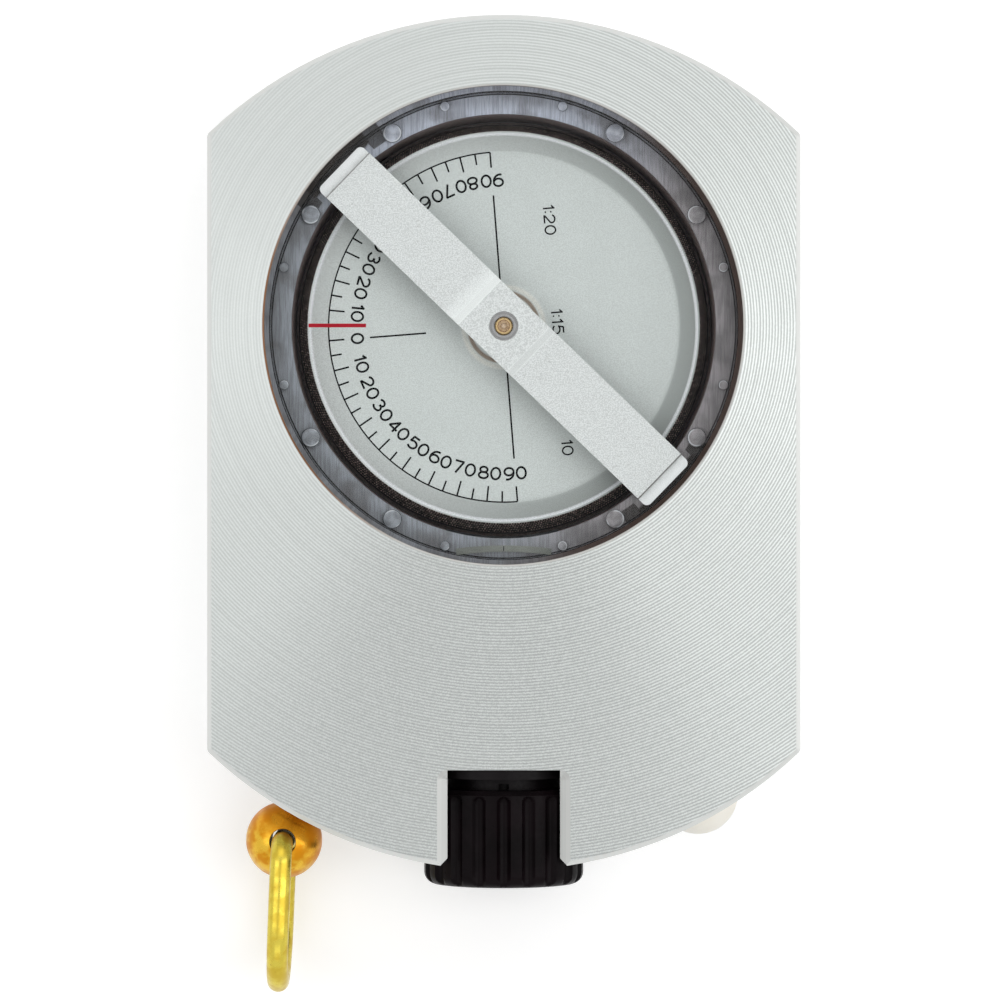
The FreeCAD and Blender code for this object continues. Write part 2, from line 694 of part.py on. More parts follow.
def make_bearing_bridge():
    """A pressed strip across the capsule: a lower middle, two arms, and a foot at each end."""
    body = new_body("bearing_bridge")
    profile = new_sketch(body, "profile", "XZ_Plane")
    bend = S.bridge_flat + S.bridge_slope
    inside = FOOT_BEND - S.bridge_thick
    foot_top = FOOT_LOW + S.bridge_thick
    right = [
        (S.bridge_flat, MIDDLE_TOP),
        (bend, BRIDGE_TOP),
        (FOOT_BEND, BRIDGE_TOP),
        (FOOT_BEND, foot_top),
        (FOOT_END, foot_top),
        (FOOT_END, FOOT_LOW),
        (inside, FOOT_LOW),
        (inside, BRIDGE_TOP - S.bridge_thick),
        (bend, BRIDGE_TOP - S.bridge_thick),
        (S.bridge_flat, MIDDLE_LOW),
    ]
    left = [(-x, z) for x, z in reversed(right)]
    add_outline(profile, right + left)
    pad(body, profile, S.bridge_width, symmetric=True)
    foot_corner = lambda box: stands_upright(box) and near(abs(box.XMax), FOOT_END)
    dress(body, "Fillet", "Radius", S.foot_round, foot_corner)
    hole = new_sketch(body, "bush_hole", offset=BRIDGE_TOP)
    add_circle(hole, ZERO, ZERO, S.bush_radius + S.fit_gap)
    pocket(body, hole, BRIDGE_TOP - UPPER_JEWEL)
    place_on_dial_axis(body, S.bridge_angle)


def make_bearing_bush():
    bore = S.screw_radius + S.fit_gap
    flange = S.bush_radius + S.bush_flange
    flange_low = MIDDLE_LOW - S.bush_depth
    top = MIDDLE_TOP - S.bush_sink
    body = turned(
        "bearing_bush",
        [
            (bore, flange_low),
            (flange, flange_low),
            (flange, MIDDLE_LOW),
            (S.bush_radius, MIDDLE_LOW),
            (S.bush_radius, top),
            (bore, top),
        ],
    )
    place_on_dial_axis(body)


def make_upper_bearing_screw():
    pocket_top = UPPER_JEWEL + S.jewel_thick + S.fit_gap
    pocket_radius = S.jewel_radius + S.fit_gap
    top = MIDDLE_TOP - S.screw_sink
    body = turned(
        "upper_bearing_screw",
        [
            (ZERO, pocket_top),
            (pocket_radius, pocket_top),
            (pocket_radius, UPPER_JEWEL),
            (S.screw_radius, UPPER_JEWEL),
            (S.screw_radius, top - S.screw_bevel),
            (S.screw_radius - S.screw_bevel, top),
            (S.screw_dimple, top),
            (ZERO, top - S.screw_dimple),
        ],
    )
    place_on_dial_axis(body)


def make_lower_bearing_screw():
    pocket_low = LOWER_JEWEL - S.jewel_thick - S.fit_gap
    pocket_radius = S.jewel_radius + S.fit_gap
    body = turned(
        "lower_bearing_screw",
        [
            (ZERO, CUP_FLOOR),
            (S.screw_radius, CUP_FLOOR),
            (S.screw_radius, LOWER_JEWEL),
            (pocket_radius, LOWER_JEWEL),
            (pocket_radius, pocket_low),
            (ZERO, pocket_low),
        ],
    )
    place_on_dial_axis(body)


def make_jewel(name, face, away):
    """A jewel whose face has a cup for the pivot's tip; away is +1 or -1, the side it extends to."""
    mouth = S.axle_radius + S.running_gap
    back = face + S.jewel_thick * away
    cup = face + S.jewel_cup * away
    body = turned(
        name,
        [(ZERO, cup), (mouth, face), (S.jewel_radius, face), (S.jewel_radius, back), (ZERO, back)],
    )
    place_on_dial_axis(body)


# ---------------------------------------------------------------- dial card, which swings as one

def make_dial_disc():
    seat = S.hub_seat + S.fit_gap
    slope_end = DISC_RADIUS - S.disc_edge
    body = turned(
        "dial_disc",
        [
            (seat, DISC_UNDER),
            (DISC_FLAT, DISC_UNDER),
            (slope_end, BORDER_UNDER),
            (DISC_RADIUS, BORDER_UNDER),
            (DISC_RADIUS, CARD_TOP - S.disc_dish),
            (slope_end, CARD_TOP - S.disc_dish),
            (DISC_FLAT, CARD_TOP),
            (seat, CARD_TOP),
        ],
    )
    place_on_dial_axis(body, S.card_angle)


def make_scale_drum():
    """The flared skirt with the scale that is read through the eyepiece."""
    body = turned(
        "scale_drum",
        [
            (DISC_RADIUS - S.drum_wall, BORDER_UNDER),
            (DRUM_WIDE - S.drum_wall, DRUM_LOW),
            (DRUM_WIDE, DRUM_LOW),
            (DISC_RADIUS, BORDER_UNDER),
        ],
    )
    place_on_dial_axis(body, S.card_angle)


def make_card_hub():
    """The hub sits in the disc's hole; its flange lies on the dial."""
    bore = S.axle_radius + S.fit_gap
    top = CARD_TOP + S.hub_rise
    low = DISC_UNDER - S.hub_below
    body = turned(
        "card_hub",
        [
            (bore, low),
            (S.hub_seat, low),
            (S.hub_seat, CARD_TOP),
            (S.hub_radius, CARD_TOP),
            (S.hub_radius, top - S.hub_bevel),
            (S.hub_radius - S.hub_bevel, top),
            (bore, top),
        ],
    )
    place_on_dial_axis(body, S.card_angle)


def make_pivot_axle():
    reach = S.jewel_cup - S.pivot_play
    low = LOWER_JEWEL - reach
    high = UPPER_JEWEL + reach
    body = turned(
        "pivot_axle",
        [
            (ZERO, low),
            (S.axle_radius, low + S.cone_length),
            (S.axle_radius, high - S.cone_length),
            (ZERO, high),
        ],
    )
    place_on_dial_axis(body, S.card_angle)


def make_counterweight():
    """A sector under the zero mark that keeps this mark lowest."""
    inner = WEIGHT_OUTER - S.weight_wide
    low = DISC_UNDER - S.weight_thick
    corners = [(inner, low), (WEIGHT_OUTER, low), (WEIGHT_OUTER, DISC_UNDER), (inner, DISC_UNDER)]
    body = turned("counterweight", corners, S.weight_angle)
    place_on_dial_axis(body, S.card_angle - 180)


# ---------------------------------------------------------------- eyepiece

def make_lens_barrel():
    step = BARREL_INNER - S.hairline_step
    flange = BAY_RADIUS - S.flange_gap
    body = turned(
        "lens_barrel",
        [
            (step, BARREL_START),
            (BARREL_OUTER, BARREL_START),
            (BARREL_OUTER, BAY_START),
            (flange, BAY_START),
            (flange, FLANGE_TOP),
            (BARREL_OUTER, FLANGE_TOP),
            (BARREL_OUTER, BARREL_END),
            (BARREL_INNER, BARREL_END),
            (BARREL_INNER, HAIRLINE_SEAT),
            (step, HAIRLINE_SEAT),
        ],
    )
    keyway = new_sketch(body, "keyway", "XZ_Plane")
    half = S.key_radius + S.running_gap
    add_box(keyway, -half, KEY_PLACE - S.key_inward - half, half, KEY_PLACE + S.key_outward + half)
    pocket(body, keyway, BARREL_BORE)
    place_on_sight_axis(body)


def make_hairline():
    """The glass that carries the sighting line, and the ring that holds it."""
    outer = BARREL_INNER - S.fit_gap
    glass_end = HAIRLINE_SEAT + S.hairline_thick
    place_on_sight_axis(turned_ring("hairline_glass", ZERO, outer, HAIRLINE_SEAT, glass_end))
    inner = BARREL_INNER - S.hairline_step
    ring_end = glass_end + S.hairline_ring
    place_on_sight_axis(turned_ring("hairline_ring", inner, outer, glass_end, ring_end))


def make_barrel_grub_screw():
    """Locks the barrel through the back of the housing."""
    radius = S.grub_radius - S.fit_gap
    low = S.plate_thick + S.grub_bevel
    top = MID_HEIGHT - BARREL_BORE
    socket_end = (low + top) / 2
    body = turned(
        "barrel_grub_screw",
        [
            (S.grub_socket, low),
            (radius, low),
            (radius, top - S.grub_bevel),
            (radius - S.grub_bevel, top),
            (ZERO, top),
            (ZERO, socket_end),
            (S.grub_socket, socket_end),
        ],
    )
    place(body, y=-GRUB_PLACE)


def make_focus_knob():
    lip = BARREL_BORE + S.running_gap
    lip_end = KNOB_START + S.lip_length
    eye = CELL_INNER
    body = turned(
        "focus_knob",
        [
            (lip, KNOB_START),
            (KNOB_RADIUS - S.knob_bevel, KNOB_START),
            (KNOB_RADIUS, KNOB_START + S.knob_bevel),
            (KNOB_RADIUS, KNOB_END - S.knob_round),
            (KNOB_RADIUS - S.knob_round, KNOB_END, S.knob_round),
            (eye + S.knob_eye_bevel, KNOB_END),
            (eye, KNOB_END - S.knob_eye_bevel),
            (eye, KNOB_INSIDE),
            (CAVITY, KNOB_INSIDE),
            (CAVITY, lip_end),
            (lip, lip_end),
        ],
    )
    cut_flutes(body)
    place_on_sight_axis(body)


def cut_flutes(body):
    """Each flute is the path of a round-nosed cutter that runs out at the knob's outer end."""
    flute = new_sketch(body, "flute", "XZ_Plane")
    cutter_axis = KNOB_RADIUS + S.flute_radius - S.flute_depth
    nose = KNOB_START + S.knob_collar
    beyond = KNOB_END + 1
    add_outline(
        flute,
        [
            (cutter_axis, nose),
            (cutter_axis + S.flute_radius, nose + S.flute_radius, S.flute_radius),
            (cutter_axis + S.flute_radius, beyond),
            (cutter_axis, beyond),
        ],
    )
    axis_start = Vector(cutter_axis.value, 0, 0)
    axis_end = Vector(cutter_axis.value, nose.value, 0)
    axis = flute.addGeometry(Part.LineSegment(axis_start, axis_end), True)
    pin_point(flute, axis, 1, cutter_axis, ZERO)
    pin_point(flute, axis, 2, cutter_axis, nose)
    before = body.Shape.Volume
    groove = body.newObject("PartDesign::Groove", "focus_knob_flute_cut")
    groove.Profile = flute
    groove.ReferenceAxis = (flute, ["Axis0"])
    groove.Angle = 360
    DOC.recompute()
    must_have_cut(body, groove, before)
    repeat_round(body, groove, flute, "V_Axis", S.flute_count)


def make_knob_clip():
    """Traps the lens cell's flange in the knob."""
    high = CELL_FLANGE - S.cell_play
    inner = BARREL_BORE + S.clip_clear
    ring = turned_ring("knob_clip", inner, CAVITY - S.fit_gap, high - S.clip_thick, high)
    place_on_sight_axis(ring)


def make_lens_cell():
    lip = CELL_INNER - S.lens_lip
    lip_low = CELL_END - S.lens_lip_length
    flange = CAVITY - S.cell_clear
    body = turned(
        "lens_cell",
        [
            (CELL_INNER, CELL_START),
            (CELL_OUTER, CELL_START),
            (CELL_OUTER, CELL_FLANGE),
            (flange, CELL_FLANGE),
            (flange, CELL_END),
            (lip, CELL_END),
            (lip, lip_low),
            (CELL_INNER, lip_low),
        ],
    )
    pin_hole = new_sketch(body, "pin_hole", "XZ_Plane")
    add_circle(pin_hole, ZERO, KEY_PLACE, S.key_radius + S.fit_gap)
    pocket(body, pin_hole, BARREL_BORE)
    place_on_sight_axis(body)


def lens_bulge(radius):
    """How far a lens face stands out at a radius, from the plane of its rim."""
    return other_side(S.lens_curve, radius) - other_side(S.lens_curve, LENS_RADIUS)


def lens_rims():
    """Inner and outer ends of the lens's cylindrical rim, the outer face resting on the cell's lip."""
    lip = CELL_INNER - S.lens_lip
    rim_high = CELL_END - S.lens_lip_length - S.fit_gap - lens_bulge(lip)
    rim_low = rim_high - S.lens_thick + lens_bulge(ZERO) * 2
    return rim_low, rim_high


def make_eye_lens():
    rim_low, rim_high = lens_rims()
    middle = lens_bulge(ZERO)
    body = turned(
        "eye_lens",
        [
            (ZERO, rim_low - middle),
            (LENS_RADIUS, rim_low, S.lens_curve),
            (LENS_RADIUS, rim_high),
            (ZERO, rim_high + middle, S.lens_curve),
        ],
    )
    place_on_sight_axis(body)


def make_lens_ring():
    rim_low, _ = lens_rims()
    inner = LENS_RADIUS - S.lens_ring_wall
    high = rim_low - lens_bulge(inner) - S.fit_gap
    place_on_sight_axis(turned_ring("lens_ring", inner, LENS_RADIUS, high - S.lens_ring, high))


def make_guide_pin():
    """A pin in the wall of the lens cell that slides in the barrel's keyway."""
    tip = BARREL_OUTER - S.running_gap
    body = turned_ring("guide_pin", ZERO, S.key_radius, CELL_INNER, tip)
    place(body, y=-KEY_PLACE, z=MID_HEIGHT)


# ---------------------------------------------------------------- lanyard side

def make_lanyard_stud():
    """A ball on a shank, cross-drilled for the ring."""
    body = turned(
        "lanyard_stud",
        [
            (ZERO, -SHANK_LENGTH),
            (SHANK, -SHANK_LENGTH),
            (SHANK, ZERO),
            (S.ball_flat, ZERO),
            (ZERO, BALL_STAND + S.ball_radius, S.ball_radius),
        ],
    )
    hole = new_sketch(body, "ring_hole", "XZ_Plane")
    add_circle(hole, ZERO, BALL_STAND, S.ring_wire + S.ring_play)
    pocket(body, hole, S.ball_radius * 2, symmetric=True)
    place_at_rim(body, -1, SIDE_SEAT)


def make_blanking_plug():
    curve = (S.dome_radius * S.dome_radius + S.dome_rise * S.dome_rise) / (S.dome_rise * 2)
    body = turned(
        "blanking_plug",
        [
            (ZERO, -SHANK_LENGTH),
            (SHANK, -SHANK_LENGTH),
            (SHANK, ZERO),
            (S.dome_radius, ZERO),
            (ZERO, S.dome_rise, curve),
        ],
    )
    place_at_rim(body, 1, SIDE_SEAT)


def make_lanyard_ring():
    """A closed oval of round wire: straight through the ball, two strands and a half-round far end."""
    body = new_body("lanyard_ring")
    path = new_sketch(body, "path", "XZ_Plane")
    strand = S.ball_radius + S.ring_bend
    straight = S.ball_radius
    far = S.ring_reach - strand
    add_outline(
        path,
        [
            (ZERO, ZERO),
            (ZERO, -straight),
            (S.ring_bend, -strand, S.ring_bend),
            (far, -strand),
            (S.ring_reach, ZERO, strand),
            (far, strand, strand),
            (S.ring_bend, strand),
            (ZERO, straight, S.ring_bend),
        ],
    )
    section = new_sketch(body, "section")
    add_circle(section, ZERO, ZERO, S.ring_wire)
    pipe = body.newObject("PartDesign::AdditivePipe", "lanyard_ring_wire")
    pipe.Profile = section
    pipe.Spine = path
    DOC.recompute()

    distance = SIDE_SEAT + BALL_STAND
    x = -sine(S.side_hole_angle) * distance
    y = -cosine(S.side_hole_angle) * distance
    hang = -S.ring_lean - 90
    place(body, x, y, MID_HEIGHT, Rotation(Vector(0, 0, 1), hang.value))
    turn_about_z(body, hang)


# ---------------------------------------------------------------- all of it

def check_document():
    failed = [item.Name for item in DOC.Objects if {"Invalid", "Error"} & set(item.State)]
    if failed:
        raise RuntimeError(f"failed: {failed}")
    for piece in PIECES:
        shape = piece.Shape
        if shape.isNull() or not shape.isValid() or len(shape.Solids) != 1:
            raise RuntimeError(f"{piece.Label} is not one valid solid")


def write_parts():
    os.makedirs("parts", exist_ok=True)
    for piece in PIECES:
        piece.Shape.exportStep(f"parts/{piece.Label}.step")
        box = piece.Shape.BoundBox
        low = f"{box.XMin:7.2f} {box.YMin:7.2f} {box.ZMin:6.2f}"
        high = f"{box.XMax:7.2f} {box.YMax:7.2f} {box.ZMax:6.2f}"
        print(f"{piece.Label:20} {piece.Shape.Volume:10.3f} mm3   {low}  to {high}")


make_housing()
make_back_plate()
make_capsule_cushion()
make_capsule_cup()
make_filling_plug()
make_capsule_window()
make_index_line()
make_bearing_bridge()
make_bearing_bush()
make_upper_bearing_screw()
make_lower_bearing_screw()
make_jewel("upper_jewel", UPPER_JEWEL, 1)
make_jewel("lower_jewel", LOWER_JEWEL, -1)
make_dial_disc()
make_scale_drum()
make_card_hub()
make_pivot_axle()
make_counterweight()
make_lens_barrel()
make_hairline()
make_barrel_grub_screw()
make_focus_knob()
make_knob_clip()
make_lens_cell()
make_eye_lens()
make_lens_ring()
make_guide_pin()
make_lanyard_stud()
make_blanking_plug()
make_lanyard_ring()
DOC.recompute()
check_document()
write_parts()
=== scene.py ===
# %% [markdown]
# # A pocket inclinometer, dressed for its picture
#
# A forester holds this instrument to one eye, and reads off a swinging dial how steeply they look up
# at a treetop. It is a flat block of aluminium with a round capsule of liquid in it. The construction
# model already holds every solid piece in its true size. This lesson adds what a construction model
# lacks: print, scales, tool marks, and finishes that catch the light as the real ones do.
#
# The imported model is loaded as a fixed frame. Nothing in it is moved, so each new piece can be placed
# by asking the frame where its neighbour is.

# %% Load the frame
import json
import math

import bmesh
import bpy
from mathutils import Matrix, Vector


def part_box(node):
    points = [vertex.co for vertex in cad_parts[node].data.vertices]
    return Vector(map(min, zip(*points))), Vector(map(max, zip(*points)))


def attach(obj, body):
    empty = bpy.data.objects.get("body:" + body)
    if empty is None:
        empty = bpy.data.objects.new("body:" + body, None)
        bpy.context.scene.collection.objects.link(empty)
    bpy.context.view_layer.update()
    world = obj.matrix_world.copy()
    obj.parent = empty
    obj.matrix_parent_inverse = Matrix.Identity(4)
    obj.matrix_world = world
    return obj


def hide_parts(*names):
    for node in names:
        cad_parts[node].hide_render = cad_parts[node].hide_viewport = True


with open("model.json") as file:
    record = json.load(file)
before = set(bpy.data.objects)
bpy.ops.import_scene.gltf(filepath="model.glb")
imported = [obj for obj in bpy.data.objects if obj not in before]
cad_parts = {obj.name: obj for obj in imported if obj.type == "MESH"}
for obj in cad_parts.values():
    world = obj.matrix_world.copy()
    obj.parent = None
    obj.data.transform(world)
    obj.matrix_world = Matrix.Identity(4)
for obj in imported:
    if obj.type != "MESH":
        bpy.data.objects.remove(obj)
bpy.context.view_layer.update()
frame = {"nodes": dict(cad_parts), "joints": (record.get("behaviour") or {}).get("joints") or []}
nodes = frame["nodes"]
print("pieces in the frame:", len(nodes))

# %% [markdown]
# All lengths in Blender are metres, while such a small tool is thought of in millimetres, so one
# constant turns one into the other. The dial's axis and the heights of a few faces are read from the
# frame, so they are right by themselves if the construction changes.

# %% Places that the rest is built from
MM = 0.001
FULL_TURN = 2 * math.pi
joints = {joint["name"]: joint for joint in frame["joints"]}
DIAL_CENTRE = Vector(joints["card_swing"]["pos_m"])
CARD_TURN = math.radians(4.5)
CUP_SHOULDER = 11.6 * MM
DIAL_TOP = 9.6 * MM
DIAL_FLAT = 15.6 * MM
DIAL_EDGE = 17.4 * MM
CUP_BORE = 18.7 * MM
CUP_RIM = 20.58 * MM
WELL = 21.0 * MM
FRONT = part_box("housing")[1].z
print("dial centre in mm:", [round(value / MM, 3) for value in DIAL_CENTRE])

# %% [markdown]
# ## Camera, floor and light
#
# The instrument lies on its back on a white table and the camera hangs straight above it. A long lens
# from 43 cm keeps the outline nearly free of perspective. The lens is worked out from how wide a strip
# of the object has to fill a square picture.

# %% Camera
def put_in_scene(name, data):
    """A new object at the origin, linked to the scene."""
    thing = bpy.data.objects.new(name, data)
    bpy.context.scene.collection.objects.link(thing)
    return thing


CAMERA_ABOVE_FRONT = 430 * MM
PIXELS_PER_MM = 11.42
PICTURE_PIXELS = 1000
field = PICTURE_PIXELS / PIXELS_PER_MM * MM

camera_data = bpy.data.cameras.new("camera")
camera_data.sensor_width = 36
camera_data.lens = camera_data.sensor_width * CAMERA_ABOVE_FRONT / field
camera_data.clip_start = 0.01
camera_data.clip_end = 10
camera = put_in_scene("camera", camera_data)
camera.location = (-0.33 * MM, -5.03 * MM, FRONT + CAMERA_ABOVE_FRONT)
bpy.context.scene.camera = camera
print("lens in mm:", round(camera_data.lens, 1))

# %% [markdown]
# Every finish here is a node tree. A few small helpers keep the trees readable: one adds a node and
# fills its inputs by name, some do arithmetic, one mixes two colours, and one stretches a range of
# values over another. An input may be a number or the output of another node.

# %% Helpers for node trees
def feed(tree, socket, source):
    if isinstance(source, bpy.types.NodeSocket):
        tree.links.new(source, socket)
    else:
        socket.default_value = source


def add_node(tree, kind, inputs=None, **settings):
    node = tree.nodes.new(kind)
    for name, value in settings.items():
        setattr(node, name, value)
    for name, source in (inputs or {}).items():
        feed(tree, node.inputs[name], source)
    return node


def calculate(tree, operation, *sources):
    node = add_node(tree, "ShaderNodeMath", operation=operation)
    for socket, source in zip(node.inputs, sources):
        feed(tree, socket, source)
    return node.outputs[0]


def times(tree, first, *others):
    for other in others:
        first = calculate(tree, "MULTIPLY", first, other)
    return first


def combine(tree, **parts):
    """A vector from its X, Y and Z, where one that isn't given is 0."""
    return add_node(tree, "ShaderNodeCombineXYZ", parts).outputs[0]


def vector_math(tree, operation, *sources):
    node = add_node(tree, "ShaderNodeVectorMath", operation=operation)
    for socket, source in zip(node.inputs, sources):
        feed(tree, socket, source)
    return node.outputs["Value" if operation in ("LENGTH", "DOT_PRODUCT") else "Vector"]


def mix_colours(tree, share, first, second):
    """share 0 gives the first colour and 1 the second."""
    node = add_node(tree, "ShaderNodeMix", data_type="RGBA")
    for index, source in ((0, share), (6, first), (7, second)):
        feed(tree, node.inputs[index], source)
    return node.outputs[2]


def rescale(tree, value, low, high, new_low=0.0, new_high=1.0):
    """Maps low..high smoothly to new_low..new_high and clamps beyond."""
    inputs = {"Value": value, "From Min": low, "From Max": high, "To Min": new_low, "To Max": new_high}
    node = add_node(tree, "ShaderNodeMapRange", inputs, interpolation_type="SMOOTHSTEP")
    return node.outputs["Result"]


def rgb(red, green, blue):
    return (red, green, blue, 1.0)


# %% [markdown]
# The table is white paper. Its own colour does most of the work, and what the camera sees directly is
# lifted the last step to white, while the soft shadow under the instrument stays.

# %% Floor and surroundings
PAPER_LIFT = 0.38


def seen_by(tree, *rays):
    """1 for the kinds of ray that are named, and 0 for the light that falls on things."""
    path = add_node(tree, "ShaderNodeLightPath").outputs
    share = path[rays[0]]
    for ray in rays[1:]:
        share = calculate(tree, "MAXIMUM", share, path[ray])
    return share


def make_floor():
    mesh = bpy.data.meshes.new("table_top")
    grid = bmesh.new()
    bmesh.ops.create_grid(grid, x_segments=2, y_segments=2, size=2.5)
    bmesh.ops.translate(grid, verts=grid.verts, vec=(0, 0, -0.02 * MM))
    grid.to_mesh(mesh)
    grid.free()
    floor = put_in_scene("table_top", mesh)

    paper = bpy.data.materials.new("white_paper")
    paper.use_nodes = True
    tree = paper.node_tree
    shader = tree.nodes["Principled BSDF"]
    shader.inputs["Base Color"].default_value = rgb(0.80, 0.80, 0.80)
    shader.inputs["Roughness"].default_value = 0.9
    shader.inputs["Specular IOR Level"].default_value = 0.0
    shader.inputs["Emission Color"].default_value = rgb(1, 1, 1)
    seen = seen_by(tree, "Is Camera Ray", "Is Glossy Ray", "Is Transmission Ray")
    tree.links.new(times(tree, seen, PAPER_LIFT), shader.inputs["Emission Strength"])
    mesh.materials.append(paper)


make_floor()

world = bpy.data.worlds.new("studio")
bpy.context.scene.world = world
world.use_nodes = True
sky = world.node_tree.nodes["Background"]
sky.inputs["Color"].default_value = rgb(1, 1, 1)
AMBIENT = 0.54
seen = seen_by(world.node_tree, "Is Camera Ray", "Is Glossy Ray")
world.node_tree.links.new(rescale(world.node_tree, seen, 0, 1, AMBIENT, 1.0), sky.inputs["Strength"])
print("table and surroundings made, ambient light", AMBIENT)

# %% [markdown]
# Large soft boxes do the modelling. Turned metal spreads a reflection at right angles to its grooves, so
# a lamp to the right or left lights up the rings to the right and left of the dial. That is why the two
# side lamps are the strong ones, and why they hang high. Their powers are chosen so that, together with
# the ambient light, a colour comes out about as bright as it is written.
#
# Shadow rays pass the clear capsule as if it weren't there, so the lamps already light the dial in that
# way. They are hidden from rays that are bent by glass, or their light would count twice.

# %% Soft boxes
def soft_box(name, place, size, power):
    light = bpy.data.lights.new(name, "AREA")
    light.shape = "RECTANGLE"
    light.size, light.size_y = size
    light.energy = power
    lamp = put_in_scene(name, light)
    lamp.location = place
    lamp.rotation_euler = (-lamp.location).to_track_quat("-Z", "Y").to_euler()
    lamp.visible_transmission = False


soft_box("right_box", Vector((0.50, -0.02, 0.68)), (0.45, 1.00), 2.2)
soft_box("left_box", Vector((-0.50, 0.02, 0.66)), (0.40, 0.70), 0.9)
soft_box("top_box", Vector((0.0, 0.62, 0.60)), (0.80, 0.30), 1.12)
soft_box("front_box", Vector((0.0, -0.64, 0.56)), (0.80, 0.30), 0.35)
bpy.context.scene.view_settings.view_transform = "Standard"

# %% [markdown]
# Shiny things mirror the room, and the darkest thing above them is the camera itself. It gives the
# brass ring its thin dark streak, and keeps a white veil off the window and the black knob. A black
# disc above the lens stands for it. Only mirrored rays meet it, so it shades nothing.

# %% The camera's own mirror image
CAMERA_BODY_RADIUS = 62 * MM
body_mesh = bpy.data.meshes.new("camera_body")
disc = bmesh.new()
bmesh.ops.create_circle(disc, cap_ends=True, segments=48, radius=CAMERA_BODY_RADIUS)
bmesh.ops.translate(disc, verts=disc.verts, vec=(0, 0, FRONT + CAMERA_ABOVE_FRONT + 20 * MM))
disc.to_mesh(body_mesh)
disc.free()
camera_body = put_in_scene("camera_body", body_mesh)
black_body = bpy.data.materials.new("black_body")
black_body.use_nodes = True
black_body.node_tree.nodes["Principled BSDF"].inputs["Base Color"].default_value = rgb(0.01, 0.01, 0.01)
body_mesh.materials.append(black_body)
for kind in ("camera", "diffuse", "transmission", "volume_scatter", "shadow"):
    setattr(camera_body, "visible_" + kind, False)
print("camera body radius in mm:", round(CAMERA_BODY_RADIUS / MM))

# %% [markdown]
# ## Finishes
#
# A finish starts from three questions: what is the surface made of, how was it cut, and what has
# happened to it since. Each answer becomes a pattern that varies colour, roughness or the surface's
# tilt. The patterns read the object's own coordinates in metres, so they stay put when a piece moves.

# %% Patterns that several finishes share
class Finish:
    """A material with one Principled shader, and the patterns that drive it."""

    def __init__(self, name, **constants):
        self.material = bpy.data.materials.new(name)
        self.material.use_nodes = True
        self.tree = self.material.node_tree
        self.shader = self.tree.nodes["Principled BSDF"]
        self.place = add_node(self.tree, "ShaderNodeTexCoord").outputs["Object"]
        for label, value in constants.items():
            self.shader.inputs[label.replace("_", " ")].default_value = value

    def set(self, label, source):
        feed(self.tree, self.shader.inputs[label], source)

    def math(self, operation, *sources):
        return calculate(self.tree, operation, *sources)

    def times(self, first, *others):
        return times(self.tree, first, *others)

    def rescale(self, value, *ends):
        return rescale(self.tree, value, *ends)

    def part_of(self, vector, axis):
        return add_node(self.tree, "ShaderNodeSeparateXYZ", {"Vector": vector}).outputs[axis]

    def noise(self, vector, scale, detail=2.0):
        return add_node(
            self.tree, "ShaderNodeTexNoise", {"Vector": vector, "Scale": scale, "Detail": detail}
        ).outputs[0]

    def grain(self, scale, detail=2.0, stretch=(1, 1, 1)):
        """Noise of about 1/scale metres, 0 to 1; stretch packs it closer along an axis."""
        return self.noise(vector_math(self.tree, "MULTIPLY", self.place, stretch), scale, detail)

    def from_axis(self, centre):
        """Vector from the upright axis through centre, level with the face."""
        away = vector_math(self.tree, "SUBTRACT", self.place, (centre.x, centre.y, 0))
        return vector_math(self.tree, "MULTIPLY", away, (1, 1, 0))

    def length(self, vector):
        return vector_math(self.tree, "LENGTH", vector)

    def along(self, vector, degrees):
        """How far a vector reaches in a level direction, counted anticlockwise from +X."""
        direction = (math.cos(math.radians(degrees)), math.sin(math.radians(degrees)), 0)
        return vector_math(self.tree, "DOT_PRODUCT", vector, direction)

    def facing(self, away, degrees):
        """1 on the side of the axis that lies in this direction, and -1 on the far side."""
        return self.math("DIVIDE", self.along(away, degrees), self.length(away))

    def rings(self, radius, pitch):
        """Even turning marks: a wave of -1 to 1 across the radius."""
        return self.math("SINE", self.times(radius, FULL_TURN / pitch))

    def upright(self):
        """How level the surface lies: 1 on faces that look up or down, 0 on the sides."""
        normal = add_node(self.tree, "ShaderNodeTexCoord").outputs["Normal"]
        return self.math("ABSOLUTE", self.part_of(normal, "Z"))

    def tint(self, share, first, second):
        return mix_colours(self.tree, share, first, second)

    def band(self, value, low, high, soft):
        """1 between low and high, with soft shoulders."""
        up = self.rescale(value, low - soft, low)
        return self.times(up, self.rescale(value, high, high + soft, 1.0, 0.0))

    def relief(self, height, depth, strength=1.0):
        """Bump, with the depth of the pattern in metres."""
        inputs = {"Height": height, "Distance": depth, "Strength": strength}
        self.set("Normal", add_node(self.tree, "ShaderNodeBump", inputs).outputs[0])


def clothe(material, *names):
    for name in names:
        nodes[name].data.materials.clear()
        nodes[name].data.materials.append(material)


# %% [markdown]
# ### Turned and anodised aluminium
#
# The block is faced on a lathe with the dial's centre on the spindle, so very fine grooves run in
# circles round the dial, 0.26 mm apart. Anodising then dulls the metal to a pale, slightly green
# grey. The grooves are far too small to model one by one, so a wave along the radius sets their tone
# and tilt, with a second, uneven set of rings over it, because no tool cuts evenly. A thin brown line
# of old grease lies where the capsule meets the block. The well's wall below the face is painted dark
# brown, as shade down in the well.
#
# The shader is told which way the grooves run: its tangent points away from the dial's centre, and
# the reflection is drawn out along it. The sides and bevels are milled, not turned. They are a little
# brighter, their marks run lengthwise, and their tangent points up the slope.
#
# To the right of the dial the grooves stand out most, and their ridges get a painted highlight there,
# where the side lamps catch the turned rings; at the left they are fainter. Below the dial a dark speckle
# is laid over them as painted shade.

# %% The housing's finish
GROOVE_PITCH = 0.262 * MM


